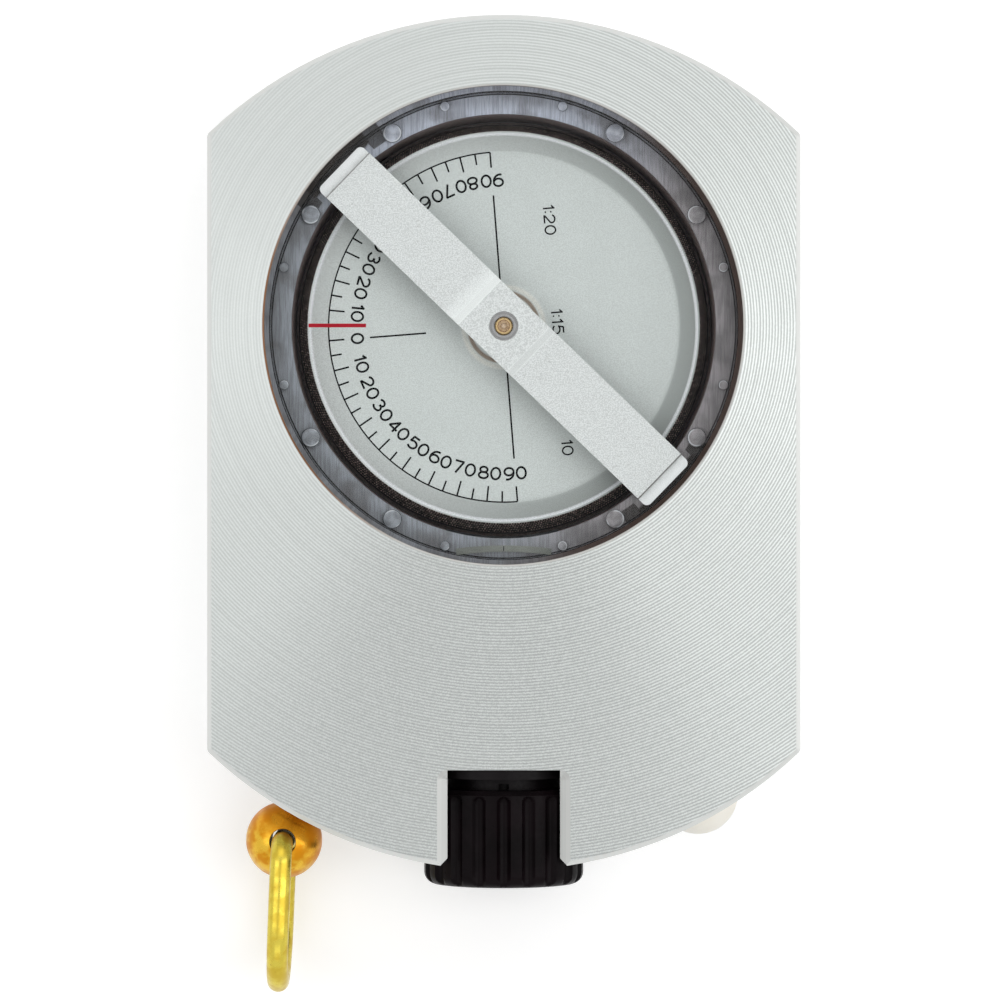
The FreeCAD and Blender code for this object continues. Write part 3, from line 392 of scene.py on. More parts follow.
def turned_aluminium():
    finish = Finish("turned_aluminium", Metallic=1.0, Anisotropic=0.6)
    away = finish.from_axis(DIAL_CENTRE)
    radius = finish.length(away)
    height = finish.part_of(finish.place, "Z")
    face = finish.rescale(finish.upright(), 0.8, 0.97)

    # Painted light: the rings' contrast is strongest towards the right of the dial.
    strength = finish.rescale(finish.facing(away, -30.0), -1.0, 1.2, 0.36, 0.8)
    even = finish.times(finish.rings(radius, GROOVE_PITCH), strength)
    uneven = finish.noise(combine(finish.tree, X=radius), 2600, 1.0)
    grooves = finish.math("ADD", even, uneven)
    grit = finish.grain(10500, 1.0)
    rough = finish.rescale(finish.facing(away, -50.0), -0.5, 1.0, 0.08, 0.22)
    grooves = finish.math("MULTIPLY_ADD", finish.rescale(grit, 0.40, 0.62, -1.0, 1.0), rough, grooves)
    milled = finish.noise(combine(finish.tree, Z=height), 5200)
    marks = add_node(finish.tree, "ShaderNodeMix", {"Factor": face, "A": milled, "B": grooves}).outputs[0]

    # Painted highlight: towards the right of the dial the ridges are lighter and the valleys darker.
    clear = finish.rescale(finish.facing(away, -20.0), -1.4, 1.2)
    valley = finish.tint(clear, rgb(0.478, 0.50, 0.49), rgb(0.41, 0.43, 0.42))
    ridge = finish.tint(clear, rgb(0.562, 0.587, 0.576), rgb(0.695, 0.723, 0.712))
    turned = finish.tint(finish.rescale(marks, -0.1, 1.1), valley, ridge)
    patches = finish.rescale(finish.grain(55, 2.0), 0.3, 0.7, 0.0, 0.06)
    turned = finish.tint(patches, turned, rgb(0.42, 0.44, 0.43))

    # Painted shade: a dark speckle below the dial.
    painted_shade_below = finish.rescale(finish.facing(away, -94.0), 0.78, 1.0, 0.06, 0.5)
    speckle = finish.times(finish.rescale(grit, 0.62, 0.40, 0.6, 1.0), painted_shade_below)
    turned = finish.tint(speckle, turned, rgb(0.27, 0.28, 0.275))
    bright = finish.tint(milled, rgb(0.56, 0.57, 0.56), rgb(0.70, 0.71, 0.69))
    colour = finish.tint(face, bright, turned)

    rim = finish.band(radius, WELL + 0.01 * MM, WELL + 0.14 * MM, 0.03 * MM)
    at_top = finish.rescale(height, FRONT - 0.4 * MM, FRONT - 0.3 * MM)
    leftwards = finish.rescale(finish.facing(away, 192.0), 0.55, 0.95, 0.1, 0.95)
    colour = finish.tint(finish.times(rim, at_top, leftwards), colour, rgb(0.22, 0.10, 0.045))
    # Painted shade: the well's wall below the face is dark brown.
    inside = finish.rescale(radius, WELL, WELL + 0.01 * MM, 1.0, 0.0)
    inside = finish.times(inside, 0.85, finish.rescale(height, 1.2 * MM, 1.6 * MM))
    finish.set("Base Color", finish.tint(inside, colour, rgb(0.10, 0.07, 0.055)))
    finish.set("Roughness", finish.rescale(finish.grain(420, 3.0), 0.2, 0.8, 0.48, 0.53))
    tangent = add_node(finish.tree, "ShaderNodeMix", data_type="VECTOR")
    for index, source in ((0, face), (4, (0, 0, 1)), (5, away)):
        feed(finish.tree, tangent.inputs[index], source)
    finish.set("Tangent", tangent.outputs[1])
    finish.relief(marks, 0.0035 * MM)
    return finish.material


clothe(turned_aluminium(), "housing")
print("housing clothed")

# %% [markdown]
# ### Blasted and brushed aluminium
#
# The bridge over the dial is a pressed strip, blasted with fine glass beads. That gives a fine grey
# speckle and an even sheen with no direction. It rises softly to its middle, and its two gentle bends
# get a painted highlight, the upper one the more, with a soft painted glow beyond the upper one. The
# crease where its feet are bent down is painted dark as shade, and the feet beyond it get a painted
# highlight that brightens towards their tips. The back plate is the same metal, brushed lengthwise
# before its print.

# %% Bridge and back plate finishes
BRIDGE_TURN = 136.0
SOFT_BEND = 3.0 * MM
SOFT_BEND_END = 3.6 * MM
FOOT_BEND = 19.1 * MM


def blasted_aluminium():
    finish = Finish("blasted_aluminium", Metallic=1.0)
    away = finish.from_axis(DIAL_CENTRE)
    along = finish.along(away, BRIDGE_TURN)
    reach = finish.math("ABSOLUTE", along)
    fine = finish.grain(8500, 1.0)
    coarse = finish.grain(2200, 3.0)
    speckle = finish.math("ADD", finish.times(fine, 0.85), finish.times(coarse, 0.15))
    share = finish.rescale(speckle, 0.40, 0.60)
    colour = finish.tint(share, rgb(0.535, 0.55, 0.545), rgb(0.685, 0.70, 0.695))
    pits = finish.rescale(finish.grain(3600, 1.0), 0.66, 0.74, 0.0, 0.22)
    colour = finish.tint(pits, colour, rgb(0.26, 0.26, 0.25))
    # Painted shade in the crease where the feet bend down.
    painted_crease_shade = finish.band(reach, FOOT_BEND - 0.05 * MM, FOOT_BEND + 0.05 * MM, 0.04 * MM)
    colour = finish.tint(finish.times(painted_crease_shade, 0.8), colour, rgb(0.10, 0.09, 0.085))
    # Painted highlight on the two soft bends, the upper one the more.
    painted_bend_highlight = finish.band(reach, SOFT_BEND, SOFT_BEND_END, 0.1 * MM)
    painted_bend_highlight = finish.times(painted_bend_highlight, finish.rescale(along, -1 * MM, 1 * MM, 0.62, 1.0))
    # Painted glow beyond the upper bend.
    painted_bend_glow = finish.band(along, SOFT_BEND_END, SOFT_BEND_END + 0.1 * MM, 1.6 * MM)
    painted_bend_glow = finish.times(painted_bend_glow, 0.5, finish.rescale(reach, SOFT_BEND, SOFT_BEND + 0.1 * MM))
    colour = finish.tint(finish.math("MAXIMUM", painted_bend_highlight, painted_bend_glow), colour, rgb(0.82, 0.84, 0.83))
    # Painted highlight on the feet, brighter towards their tips.
    foot = finish.rescale(reach, FOOT_BEND + 0.06 * MM, FOOT_BEND + 1.0 * MM, 0.45, 0.9)
    foot = finish.times(foot, finish.rescale(reach, FOOT_BEND + 0.04 * MM, FOOT_BEND + 0.1 * MM))
    colour = finish.tint(foot, colour, rgb(0.93, 0.945, 0.95))
    finish.set("Base Color", colour)
    finish.set("Roughness", finish.rescale(coarse, 0.2, 0.8, 0.38, 0.5))
    finish.relief(speckle, 0.003 * MM, 0.5)
    return finish.material


def brushed_aluminium():
    finish = Finish("brushed_aluminium", Metallic=1.0)
    strokes = finish.grain(900, 4.0, (14, 0.5, 1))
    share = finish.rescale(strokes, 0.3, 0.7)
    finish.set("Base Color", finish.tint(share, rgb(0.52, 0.53, 0.52), rgb(0.66, 0.67, 0.66)))
    finish.set("Roughness", finish.rescale(strokes, 0.2, 0.8, 0.3, 0.42))
    finish.relief(strokes, 0.002 * MM, 0.5)
    return finish.material


clothe(blasted_aluminium(), "bearing_bridge")
clothe(brushed_aluminium(), "back_plate")
print("bridge and back plate clothed")

# %% [markdown]
# ### Clear plastic and glass
#
# The capsule is clear plastic. A glass shader bends what is seen through it, but a path tracer finds
# it hard to send lamp light through glass. So for shadow rays only, the glass is swapped for a plain
# see-through surface, and the dial under it is lit as it is in the open. Liquid fills the capsule, so
# its inner faces hardly reflect, and a low refractive index stands for that.

# %% Clear finishes
def clear_finish(name, colour, roughness, refraction, haze_scale):
    finish = Finish(name, Transmission_Weight=1.0, IOR=refraction)
    finish.set("Base Color", finish.tint(finish.grain(haze_scale, 3.0), colour, rgb(0.97, 0.98, 0.98)))
    finish.set("Roughness", finish.rescale(finish.grain(haze_scale * 4, 3.0), 0.45, 0.8, 0.0, roughness))
    tree = finish.tree
    open_to_light = add_node(tree, "ShaderNodeBsdfTransparent", {"Color": colour})
    path = add_node(tree, "ShaderNodeLightPath")
    swap = add_node(tree, "ShaderNodeMixShader")
    tree.links.new(path.outputs["Is Shadow Ray"], swap.inputs[0])
    tree.links.new(finish.shader.outputs[0], swap.inputs[1])
    tree.links.new(open_to_light.outputs[0], swap.inputs[2])
    tree.links.new(swap.outputs[0], tree.nodes["Material Output"].inputs["Surface"])
    return finish.material


clothe(clear_finish("window_plastic", rgb(0.97, 0.98, 0.98), 0.012, 1.22, 220), "capsule_window")
clothe(clear_finish("capsule_plastic", rgb(0.90, 0.92, 0.95), 0.10, 1.28, 700), "capsule_cup")
clothe(clear_finish("lens_glass", rgb(0.93, 0.97, 0.96), 0.01, 1.52, 300), "eye_lens", "hairline_glass")
print("clear finishes made")

# %% [markdown]
# ### Dial card
#
# The disc is satin grey lacquer on metal with a very fine grit in it, and a border that slopes away.
# The border is painted darker as shade, and lighter on the left as painted light, and the edge gets a
# painted highlight. A low ring frames its hole, with a painted highlight on it. The skirt below it is
# blackish brown. The hub is sprayed with the disc, and has a brown painted shade round its edge.

# %% Dial finishes
DISC_GREY = rgb(0.575, 0.610, 0.596)
HUB_EDGE = 2.95 * MM
BOSS_RADIUS = 3.5 * MM
BOSS_RISE = 0.14 * MM
DRUM_GROOVE = 0.1 * MM


def dial_lacquer():
    finish = Finish("dial_lacquer", Roughness=0.5, Specular_IOR_Level=0.3)
    away = finish.from_axis(DIAL_CENTRE)
    radius = finish.length(away)
    lit = finish.rescale(finish.facing(away, 170.0), -0.8, 0.9)
    cloud = finish.rescale(finish.grain(320, 3.0), 0.3, 0.7)
    colour = finish.tint(cloud, rgb(0.56, 0.595, 0.581), DISC_GREY)
    # Painted shade on the sloping border, lighter on the left as painted light.
    slope = finish.rescale(radius, DIAL_FLAT - 0.4 * MM, DIAL_FLAT + 0.3 * MM)
    shade = finish.tint(lit, rgb(0.365, 0.393, 0.382), rgb(0.65, 0.684, 0.671))
    colour = finish.tint(slope, colour, shade)
    # Painted highlight along the disc's edge.
    edge = finish.band(radius, DIAL_EDGE - 0.34 * MM, DIAL_EDGE - 0.2 * MM, 0.13 * MM)
    colour = finish.tint(edge, colour, rgb(0.80, 0.82, 0.84))
    # Painted highlight on the low ring round the hole.
    painted_boss_highlight = finish.times(finish.band(radius, BOSS_RADIUS, BOSS_RADIUS + 0.1 * MM, 0.3 * MM), 0.75)
    colour = finish.tint(painted_boss_highlight, colour, rgb(0.74, 0.73, 0.67))
    grit = finish.rescale(finish.grain(9500, 1.0), 0.40, 0.62, 0.0, 0.3)
    finish.set("Base Color", finish.tint(grit, colour, rgb(0.30, 0.31, 0.30)))
    boss = finish.band(radius, BOSS_RADIUS - 0.3 * MM, BOSS_RADIUS, 0.55 * MM)
    rise = finish.math("MULTIPLY_ADD", finish.grain(5200, 2.0), 0.006, boss)
    finish.relief(rise, BOSS_RISE)
    return finish.material


def worn_hub():
    finish = Finish("worn_hub", Roughness=0.45, Specular_IOR_Level=0.3)
    radius = finish.length(finish.from_axis(DIAL_CENTRE))
    # Painted shade: a brown band round the hub's rounded edge.
    painted_hub_edge_shade = finish.band(radius, HUB_EDGE + 0.05 * MM, HUB_EDGE + 0.2 * MM, 0.2 * MM)
    grain = finish.rescale(finish.grain(2600, 3.0), 0.3, 0.7, 0.75, 1.0)
    brown = finish.tint(grain, rgb(0.12, 0.09, 0.07), rgb(0.27, 0.215, 0.17))
    finish.set("Base Color", finish.tint(painted_hub_edge_shade, DISC_GREY, brown))
    finish.relief(finish.grain(4200, 2.0), 0.002 * MM, 0.4)
    return finish.material


def black_skirt():
    finish = Finish("black_skirt", Specular_IOR_Level=0.1)
    radius = finish.length(finish.from_axis(DIAL_CENTRE))
    within = finish.math("MODULO", radius, 2 * DRUM_GROOVE)
    grooves = finish.band(within, DRUM_GROOVE - 0.015 * MM, DRUM_GROOVE + 0.015 * MM, 0.02 * MM)
    brown = finish.tint(finish.grain(1500, 3.0), rgb(0.13, 0.097, 0.092), rgb(0.20, 0.155, 0.15))
    finish.set("Base Color", finish.tint(grooves, brown, rgb(0.003, 0.002, 0.002)))
    finish.set("Roughness", finish.rescale(finish.grain(900, 2.0), 0.3, 0.7, 0.5, 0.65))
    finish.relief(grooves, -0.01 * MM, 0.5)
    return finish.material


clothe(dial_lacquer(), "dial_disc")
clothe(worn_hub(), "card_hub")
clothe(black_skirt(), "scale_drum")
print("dial card clothed")

# %% [markdown]
# ### Small metals and plastics
#
# Turned screws show fine rings about their own axis, moulded plastic a faint orange-peel skin, and old
# brass a mottled tarnish. The bearing screw has a dark line inside its rim, where its slot's collar
# begins, and a painted glint makes its middle pale over the jewel. The lanyard's ball is darker and
# redder towards the block, and its hole is painted dark as shade.

# %% Finishes of the small pieces
SCREW_LINE, SCREW_LINE_WIDTH = 0.50 * MM, 0.04 * MM
SCREW_RIM, SCREW_RIM_END = 0.58 * MM, 0.90 * MM
JEWEL_RADIUS = 0.34 * MM
BLOCK_SIDE = 61.0


def turned_metal(name, dark, light, centre, pitch, roughness):
    finish = Finish(name, Metallic=1.0)
    radius = finish.length(finish.from_axis(centre))
    rings = finish.rescale(finish.rings(radius, pitch), -1.0, 1.0)
    cloud = finish.grain(1800, 3.0)
    share = finish.rescale(finish.math("ADD", finish.times(rings, 0.6), cloud), 0.3, 1.2)
    finish.set("Base Color", finish.tint(share, dark, light))
    finish.set("Roughness", finish.rescale(cloud, 0.2, 0.8, roughness, roughness + 0.15))
    finish.relief(rings, 0.008 * MM, 0.6)
    return finish.material


def screw_brass():
    finish = Finish("screw_brass", Metallic=1.0)
    radius = finish.length(finish.from_axis(DIAL_CENTRE))
    cloud = finish.rescale(finish.grain(5200, 3.0), 0.3, 0.7)
    colour = finish.tint(cloud, rgb(0.32, 0.21, 0.12), rgb(0.46, 0.33, 0.21))
    rim = finish.band(radius, SCREW_RIM, SCREW_RIM_END, 0.06 * MM)
    colour = finish.tint(rim, colour, rgb(0.56, 0.40, 0.20))
    line = finish.band(radius, SCREW_LINE, SCREW_LINE + SCREW_LINE_WIDTH, 0.03 * MM)
    colour = finish.tint(line, colour, rgb(0.24, 0.14, 0.08))
    # Painted glint: the middle over the jewel is pale.
    centre = finish.rescale(radius, 0.1 * MM, JEWEL_RADIUS, 0.8, 0.0)
    finish.set("Base Color", finish.tint(centre, colour, rgb(0.85, 0.76, 0.66)))
    finish.set("Roughness", finish.rescale(cloud, 0.0, 1.0, 0.24, 0.4))
    finish.relief(finish.math("MAXIMUM", line, finish.times(cloud, 0.3)), -0.012 * MM, 0.7)
    return finish.material


def moulded(name, dark, light, roughness, skin_scale, **constants):
    finish = Finish(name, **constants)
    skin = finish.grain(skin_scale, 2.0)
    finish.set("Base Color", finish.tint(finish.rescale(finish.grain(300, 3.0), 0.3, 0.7), dark, light))
    finish.set("Roughness", finish.rescale(skin, 0.2, 0.8, roughness, roughness + 0.15))
    finish.relief(skin, 0.006 * MM, 0.5)
    return finish.material


def tarnished_brass(name, shine, tarnish, spot, roughness, hole=0.0):
    """Old brass; a hole of this radius about the ring's hinge is painted dark as shade."""
    finish = Finish(name, Metallic=1.0)
    cloud = finish.grain(800, 4.0)
    fine = finish.grain(2600, 3.0)
    colour = finish.tint(finish.rescale(cloud, 0.38, 0.62), shine, tarnish)
    colour = finish.tint(finish.rescale(fine, 0.66, 0.76, 0.0, 0.6), colour, spot)
    if hole:
        away = finish.from_axis(Vector(joints["ring_swing"]["pos_m"]))
        # Darker and redder towards the block.
        towards_block = finish.rescale(finish.along(away, BLOCK_SIDE), -1.0 * MM, 2.0 * MM, 0.0, 0.8)
        colour = finish.tint(towards_block, colour, rgb(0.66, 0.22, 0.007))
        # Painted shade: the hole is dark.
        painted_hole_shade = finish.rescale(finish.length(away), hole, hole + 0.08 * MM, 1.0, 0.0)
        colour = finish.tint(painted_hole_shade, colour, rgb(0.02, 0.010, 0.004))
    finish.set("Base Color", colour)
    finish.set("Roughness", finish.rescale(cloud, 0.3, 0.7, roughness, roughness + 0.2))
    finish.relief(fine, 0.008 * MM, 0.4)
    return finish.material


BALL_HOLE = 1.15 * MM
STEEL = (rgb(0.24, 0.235, 0.235), rgb(0.33, 0.325, 0.325))
SATIN_BLACK = (rgb(0.003, 0.002, 0.0025), rgb(0.008, 0.006, 0.007))
BALL_COLOURS = (rgb(0.72, 0.44, 0.045), rgb(0.58, 0.24, 0.010), rgb(0.27, 0.09, 0.01))
RING_COLOURS = (rgb(0.64, 0.52, 0.075), rgb(0.56, 0.41, 0.045), rgb(0.34, 0.19, 0.03))

clothe(screw_brass(), "upper_bearing_screw", "lower_bearing_screw", "counterweight")
steel = turned_metal("turned_steel", *STEEL, DIAL_CENTRE, 0.3 * MM, 0.35)
clothe(steel, "bearing_bush", "pivot_axle", "barrel_grub_screw", "knob_clip", "guide_pin")
black_anodised = moulded("black_anodised", *SATIN_BLACK, 0.35, 3000, Specular_IOR_Level=0.1)
clothe(black_anodised, "lens_barrel", "hairline_ring", "lens_cell", "lens_ring")
clothe(tarnished_brass("ball_brass", *BALL_COLOURS, 0.24, BALL_HOLE), "lanyard_stud")
clothe(tarnished_brass("ring_brass", *RING_COLOURS, 0.2), "lanyard_ring")
for name, dark, light, roughness, skin_scale, *pieces in (
    ("ruby", rgb(0.55, 0.02, 0.08), rgb(0.70, 0.06, 0.14), 0.05, 2500, "upper_jewel", "lower_jewel"),
    ("washer_rubber", rgb(0.10, 0.105, 0.12), rgb(0.17, 0.175, 0.20), 0.5, 1800, "capsule_cushion"),
    ("plug_plastic", rgb(0.80, 0.80, 0.77), rgb(0.88, 0.88, 0.86), 0.5, 1500, "filling_plug"),
    ("index_paint", rgb(0.72, 0.012, 0.045), rgb(0.84, 0.03, 0.07), 0.4, 3000, "index_line"),
    ("milky_plastic", rgb(0.95, 0.91, 0.815), rgb(0.98, 0.95, 0.87), 0.35, 900, "blanking_plug"),
):
    clothe(moulded(name, dark, light, roughness, skin_scale), *pieces)
print("small pieces clothed")

# %% [markdown]
# ## Pieces that the construction model leaves out
#
# Every new piece is a plain mesh whose place is in its vertices. It rides on a body, so it moves
# with it.

# %% Finishing a piece
def finish_piece(piece, body, material=None):
    """Body and material for a piece whose mesh is already in place."""
    if material is not None:
        piece.data.materials.clear()
        piece.data.materials.append(material)
    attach(piece, body)
    print(f"{piece.name}: {len(piece.data.polygons)} faces")
    return piece


def object_from(bm, name):
    """A new object from a bmesh, with its faces turned outwards."""
    bmesh.ops.recalc_face_normals(bm, faces=bm.faces)
    mesh = bpy.data.meshes.new(name)
    bm.to_mesh(mesh)
    bm.free()
    return put_in_scene(name, mesh)


# %% [markdown]
# ### Strips
#
# Printed lines, arcs and figures are all strips: a row of level four-sided sections, joined up along
# their path. A strip of two sections is a straight line, and one that closes is a ring. Print made in
# this way stays sharp at any distance, which a painted-on pattern doesn't.

# %% Strips and ink
def add_strip(bm, path, width, low, high, closed=False):
    """A flat bar along (x, y) points, from low to high."""
    last = len(path) - 1
    sections = []
    for index, point in enumerate(path):
        before, after = max(index - 1, 0), min(index + 1, last)
        if closed:
            before, after = index - 1, (index + 1) % len(path)
        ahead = path[after] - path[before]
        side = Vector((-ahead.y, ahead.x)).normalized() * (width / 2)
        corners = ((point - side, low), (point + side, low), (point + side, high), (point - side, high))
        sections.append([bm.verts.new((xy.x, xy.y, z)) for xy, z in corners])
    pairs = list(zip(sections, sections[1:])) + [(sections[-1], sections[0])] * closed
    for first, second in pairs:
        for corner in range(4):
            after = (corner + 1) % 4
            bm.faces.new((first[corner], first[after], second[after], second[corner]))
    if not closed:
        bm.faces.new(sections[0][::-1])
        bm.faces.new(sections[-1])


def circle_path(radius, steps=360):
    turns = (FULL_TURN * step / steps for step in range(steps))
    return [DIAL_CENTRE.xy + Vector((math.cos(turn), math.sin(turn))) * radius for turn in turns]


def ink(name, dark, light, patch=4000, low=0.3, high=0.75):
    """Print that is thin in patches of about 1/patch metres, dark where the noise is under low."""
    finish = Finish(name, Specular_IOR_Level=0.1)
    spread = finish.rescale(finish.grain(patch, 2.0), low, high)
    finish.set("Base Color", finish.tint(spread, dark, light))
    finish.set("Roughness", finish.rescale(finish.grain(2500, 2.0), 0.2, 0.8, 0.5, 0.7))
    return finish.material


BLACK_INK = ink("black_ink", rgb(0.001, 0.001, 0.0015), rgb(0.005, 0.005, 0.006))
PALE_INK = ink("pale_ink", rgb(0.12, 0.09, 0.082), rgb(1.0, 0.80, 0.73), 3200, 0.42, 0.58)
INK_THICK = 0.012 * MM
INK_SINK = 0.003 * MM
INK_LOW, INK_HIGH = DIAL_TOP - INK_SINK, DIAL_TOP - INK_SINK + INK_THICK
print("inks:", BLACK_INK.name, PALE_INK.name)

# %% [markdown]
# ### The capsule's frosted shoulder
#
# Seen from the front, the capsule ends in a frosted shoulder round the black skirt, with a narrow rim
# outside it. Moulded plastic is never quite even: there are fine parallel flow streaks. Painted light
# makes it lightest and bluest at the top, and painted shade keeps it darker towards the right and
# towards the rim, with a thin dark line just inside the rim and the rim itself dark brown on the right.
# The pockets beside the bridge's feet and the gaps behind them are painted darkest, as shadow. The
# frost is a thin skin over the shoulder, so the clear cup keeps its glass.

# %% Frosted skin
PAINTED_SHADE_SIDE = -12.0
POCKET_RADIUS = 19.3 * MM
POCKET_START, POCKET_END = 3.3 * MM, 4.9 * MM


def capsule_grey(finish, away):
    """The moulded plastic, with painted light: bluish and lighter at the top, and neutral painted shade on
    one side.
    """
    # Painted light: lighter and bluer at the top.
    upwards = finish.rescale(finish.facing(away, 80.0), 0.2, 0.9)
    bluish = finish.tint(upwards, rgb(0.275, 0.295, 0.325), rgb(0.47, 0.50, 0.585))
    # Painted shade: a neutral grey on one side.
    painted_dark_side = finish.rescale(finish.facing(away, PAINTED_SHADE_SIDE), 0.1, 0.75)
    return finish.tint(painted_dark_side, bluish, rgb(0.29, 0.27, 0.28))


def frosted_plastic():
    finish = Finish("frosted_plastic", Specular_IOR_Level=0.15)
    away = finish.from_axis(DIAL_CENTRE)
    radius = finish.length(away)
    tone = capsule_grey(finish, away)
    streaks = finish.rescale(finish.grain(9500, 2.0, (1, 0.05, 1)), 0.34, 0.64)
    colour = finish.tint(streaks, finish.tint(0.36, tone, rgb(0.03, 0.03, 0.035)), tone)
    flow = finish.rescale(finish.grain(380, 3.0), 0.42, 0.68, 0.0, 0.6)
    colour = finish.tint(flow, colour, rgb(0.11, 0.105, 0.108))
    # Painted shade: darker towards the rim.
    outer = finish.rescale(radius, CUP_BORE + 0.1 * MM, CUP_RIM - 0.5 * MM, 0.0, 0.3)
    colour = finish.tint(outer, colour, rgb(0.08, 0.075, 0.075))

    aside = finish.math("ABSOLUTE", finish.along(away, BRIDGE_TURN - 90))
    reach = finish.math("ABSOLUTE", finish.along(away, BRIDGE_TURN))
    outwards = finish.rescale(radius, POCKET_RADIUS, POCKET_RADIUS + 0.1 * MM)
    near_foot = finish.rescale(reach, 15 * MM, 16 * MM, 0.0, 0.8)
    # Painted shade in the pockets beside the bridge's feet.
    painted_pocket_shade = finish.times(finish.band(aside, POCKET_START, POCKET_END, 0.06 * MM), outwards, near_foot)
    past_foot = finish.rescale(reach, POCKET_RADIUS + 0.3 * MM, POCKET_RADIUS + 0.6 * MM)
    # Painted shadow in the gaps behind the feet.
    behind = finish.rescale(aside, POCKET_START + 0.1 * MM, POCKET_START + 0.6 * MM, 1.0, 0.0)
    behind = finish.times(behind, 0.97, past_foot)
    colour = finish.tint(finish.math("MAXIMUM", painted_pocket_shade, behind), colour, rgb(0.022, 0.018, 0.016))
    # Painted shade: a thin dark line just inside the rim.
    corner = finish.band(radius, CUP_RIM - 0.16 * MM, CUP_RIM - 0.07 * MM, 0.035 * MM)
    colour = finish.tint(finish.times(corner, 0.95), colour, rgb(0.012, 0.011, 0.012))
    # Painted shade: the rim is dark brown on one side.
    painted_rim_shade_side = finish.rescale(finish.facing(away, PAINTED_SHADE_SIDE), 0.2, 0.55, 0.0, 0.9)
    rim = finish.times(finish.rescale(radius, CUP_RIM, CUP_RIM + 0.04 * MM), painted_rim_shade_side)
    finish.set("Base Color", finish.tint(rim, colour, rgb(0.058, 0.035, 0.027)))
    finish.set("Roughness", finish.rescale(streaks, 0.0, 1.0, 0.3, 0.45))
    finish.relief(streaks, 0.006 * MM, 0.5)
    return finish.material


SKIN = 0.03 * MM
RIM_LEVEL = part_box("capsule_window")[0].z
skin = bmesh.new()
for inner, outer, level in (
    (CUP_BORE + 0.02 * MM, CUP_RIM - 0.02 * MM, CUP_SHOULDER),
    (CUP_RIM + 0.03 * MM, WELL - 0.05 * MM, RIM_LEVEL),
):
    add_strip(skin, circle_path((inner + outer) / 2), outer - inner, level - SKIN / 3, level + SKIN, True)
finish_piece(object_from(skin, "shoulder_frost"), "instrument", frosted_plastic())

# %% [markdown]
# The bore of the cup is covered with a dark brown sheet of painted shade round the skirt. It
# leaves a window at the bottom, where the eyepiece looks through the cup's wall at the skirt's scale.

# %% Sheet of painted shade in the bore
CUP_FLOOR = 3.4 * MM
FILM = 0.03 * MM
SIGHT_WINDOW = range(255, 286)
# A dark sheet of painted shade over the bore's wall and floor.
shade_film = ink("lining_film", rgb(0.09, 0.066, 0.063), rgb(0.15, 0.115, 0.11))
around = circle_path(CUP_BORE - FILM)
shade_sheet = bmesh.new()
open_path = around[SIGHT_WINDOW[-1]:] + around[:SIGHT_WINDOW[0]]
add_strip(shade_sheet, open_path, FILM, CUP_FLOOR + 0.05 * MM, CUP_SHOULDER - 0.02 * MM)
floor_ring = circle_path(CUP_BORE - 0.5 * MM)
add_strip(shade_sheet, floor_ring, 0.8 * MM, CUP_FLOOR - 0.01 * MM, CUP_FLOOR + 0.02 * MM, True)
finish_piece(object_from(shade_sheet, "bore_lining"), "instrument", shade_film)

# %% [markdown]
# At the bottom of the shoulder, where the plastic ran in, a shallow bowed rib is left, with a fine mark
# at its middle.

# %% Moulding rib
RIB_REACH = 4.2 * MM
RIB_MIDDLE = 19.62 * MM
RIB_BOW = 0.28 * MM
RIB_WIDTH, RIB_RISE = 0.56 * MM, 0.16 * MM
RIB_MARK = 0.44 * MM
shares = [step / 12 for step in range(-12, 13)]
path = [DIAL_CENTRE.xy - Vector((RIB_REACH * share, RIB_MIDDLE + RIB_BOW * share**2)) for share in shares]
ribs = bmesh.new()
rib_top = CUP_SHOULDER + RIB_RISE
add_strip(ribs, path, RIB_WIDTH, CUP_SHOULDER, rib_top)
rib_plastic = moulded("rib_plastic", rgb(0.12, 0.13, 0.115), rgb(0.18, 0.19, 0.17), 0.3, 2500)
finish_piece(object_from(ribs, "moulding_rib"), "instrument", rib_plastic)

marks = bmesh.new()
ends = [DIAL_CENTRE.xy - Vector((0, RIB_MIDDLE + RIB_MARK * side)) for side in (-0.5, 0.5)]
add_strip(marks, ends, 0.07 * MM, rib_top - 0.01 * MM, rib_top + 0.01 * MM)
finish_piece(object_from(marks, "rib_mark"), "instrument", BLACK_INK)

# %% [markdown]
# ## Geometry Nodes for what repeats
#
# The instrument is full of things that repeat round an axis: tick marks, the rows of the fine scale,
# the welding studs of the capsule and the flutes of the knob. Each kind gets a tree with named inputs,
# and the same tree is used again with other sizes.
#
# A tree's result is frozen into a plain mesh: the modifier's inputs are set by their sockets'
# identifiers, the object is evaluated once, and its mesh is copied to a fresh object. What rides on a
# body from then on is ordinary geometry.

# %% From a tree to a mesh
def grow(tree, name, outline=(), **sizes):
    """Runs a Geometry Nodes tree once, on an outline if it wants one, and returns a plain object."""
    start = bpy.data.meshes.new(name + "_start")
    start.from_pydata([(point[0], point[1], 0) for point in outline], [], [])
    seed = put_in_scene(name + "_seed", start)
    modifier = seed.modifiers.new("tree", "NODES")
    modifier.node_group = tree
    for item in tree.interface.items_tree:
        if item.in_out == "INPUT" and item.name.replace(" ", "_") in sizes:
            modifier[item.identifier] = sizes[item.name.replace(" ", "_")]
    seed.update_tag()
    evaluated = seed.evaluated_get(bpy.context.evaluated_depsgraph_get())
    mesh = bpy.data.meshes.new_from_object(evaluated)
    mesh.name = name
    bpy.data.objects.remove(seed)
    shell = bmesh.new()
    shell.from_mesh(mesh)
    bmesh.ops.recalc_face_normals(shell, faces=shell.faces)
    shell.to_mesh(mesh)
    shell.free()
    return put_in_scene(name, mesh)


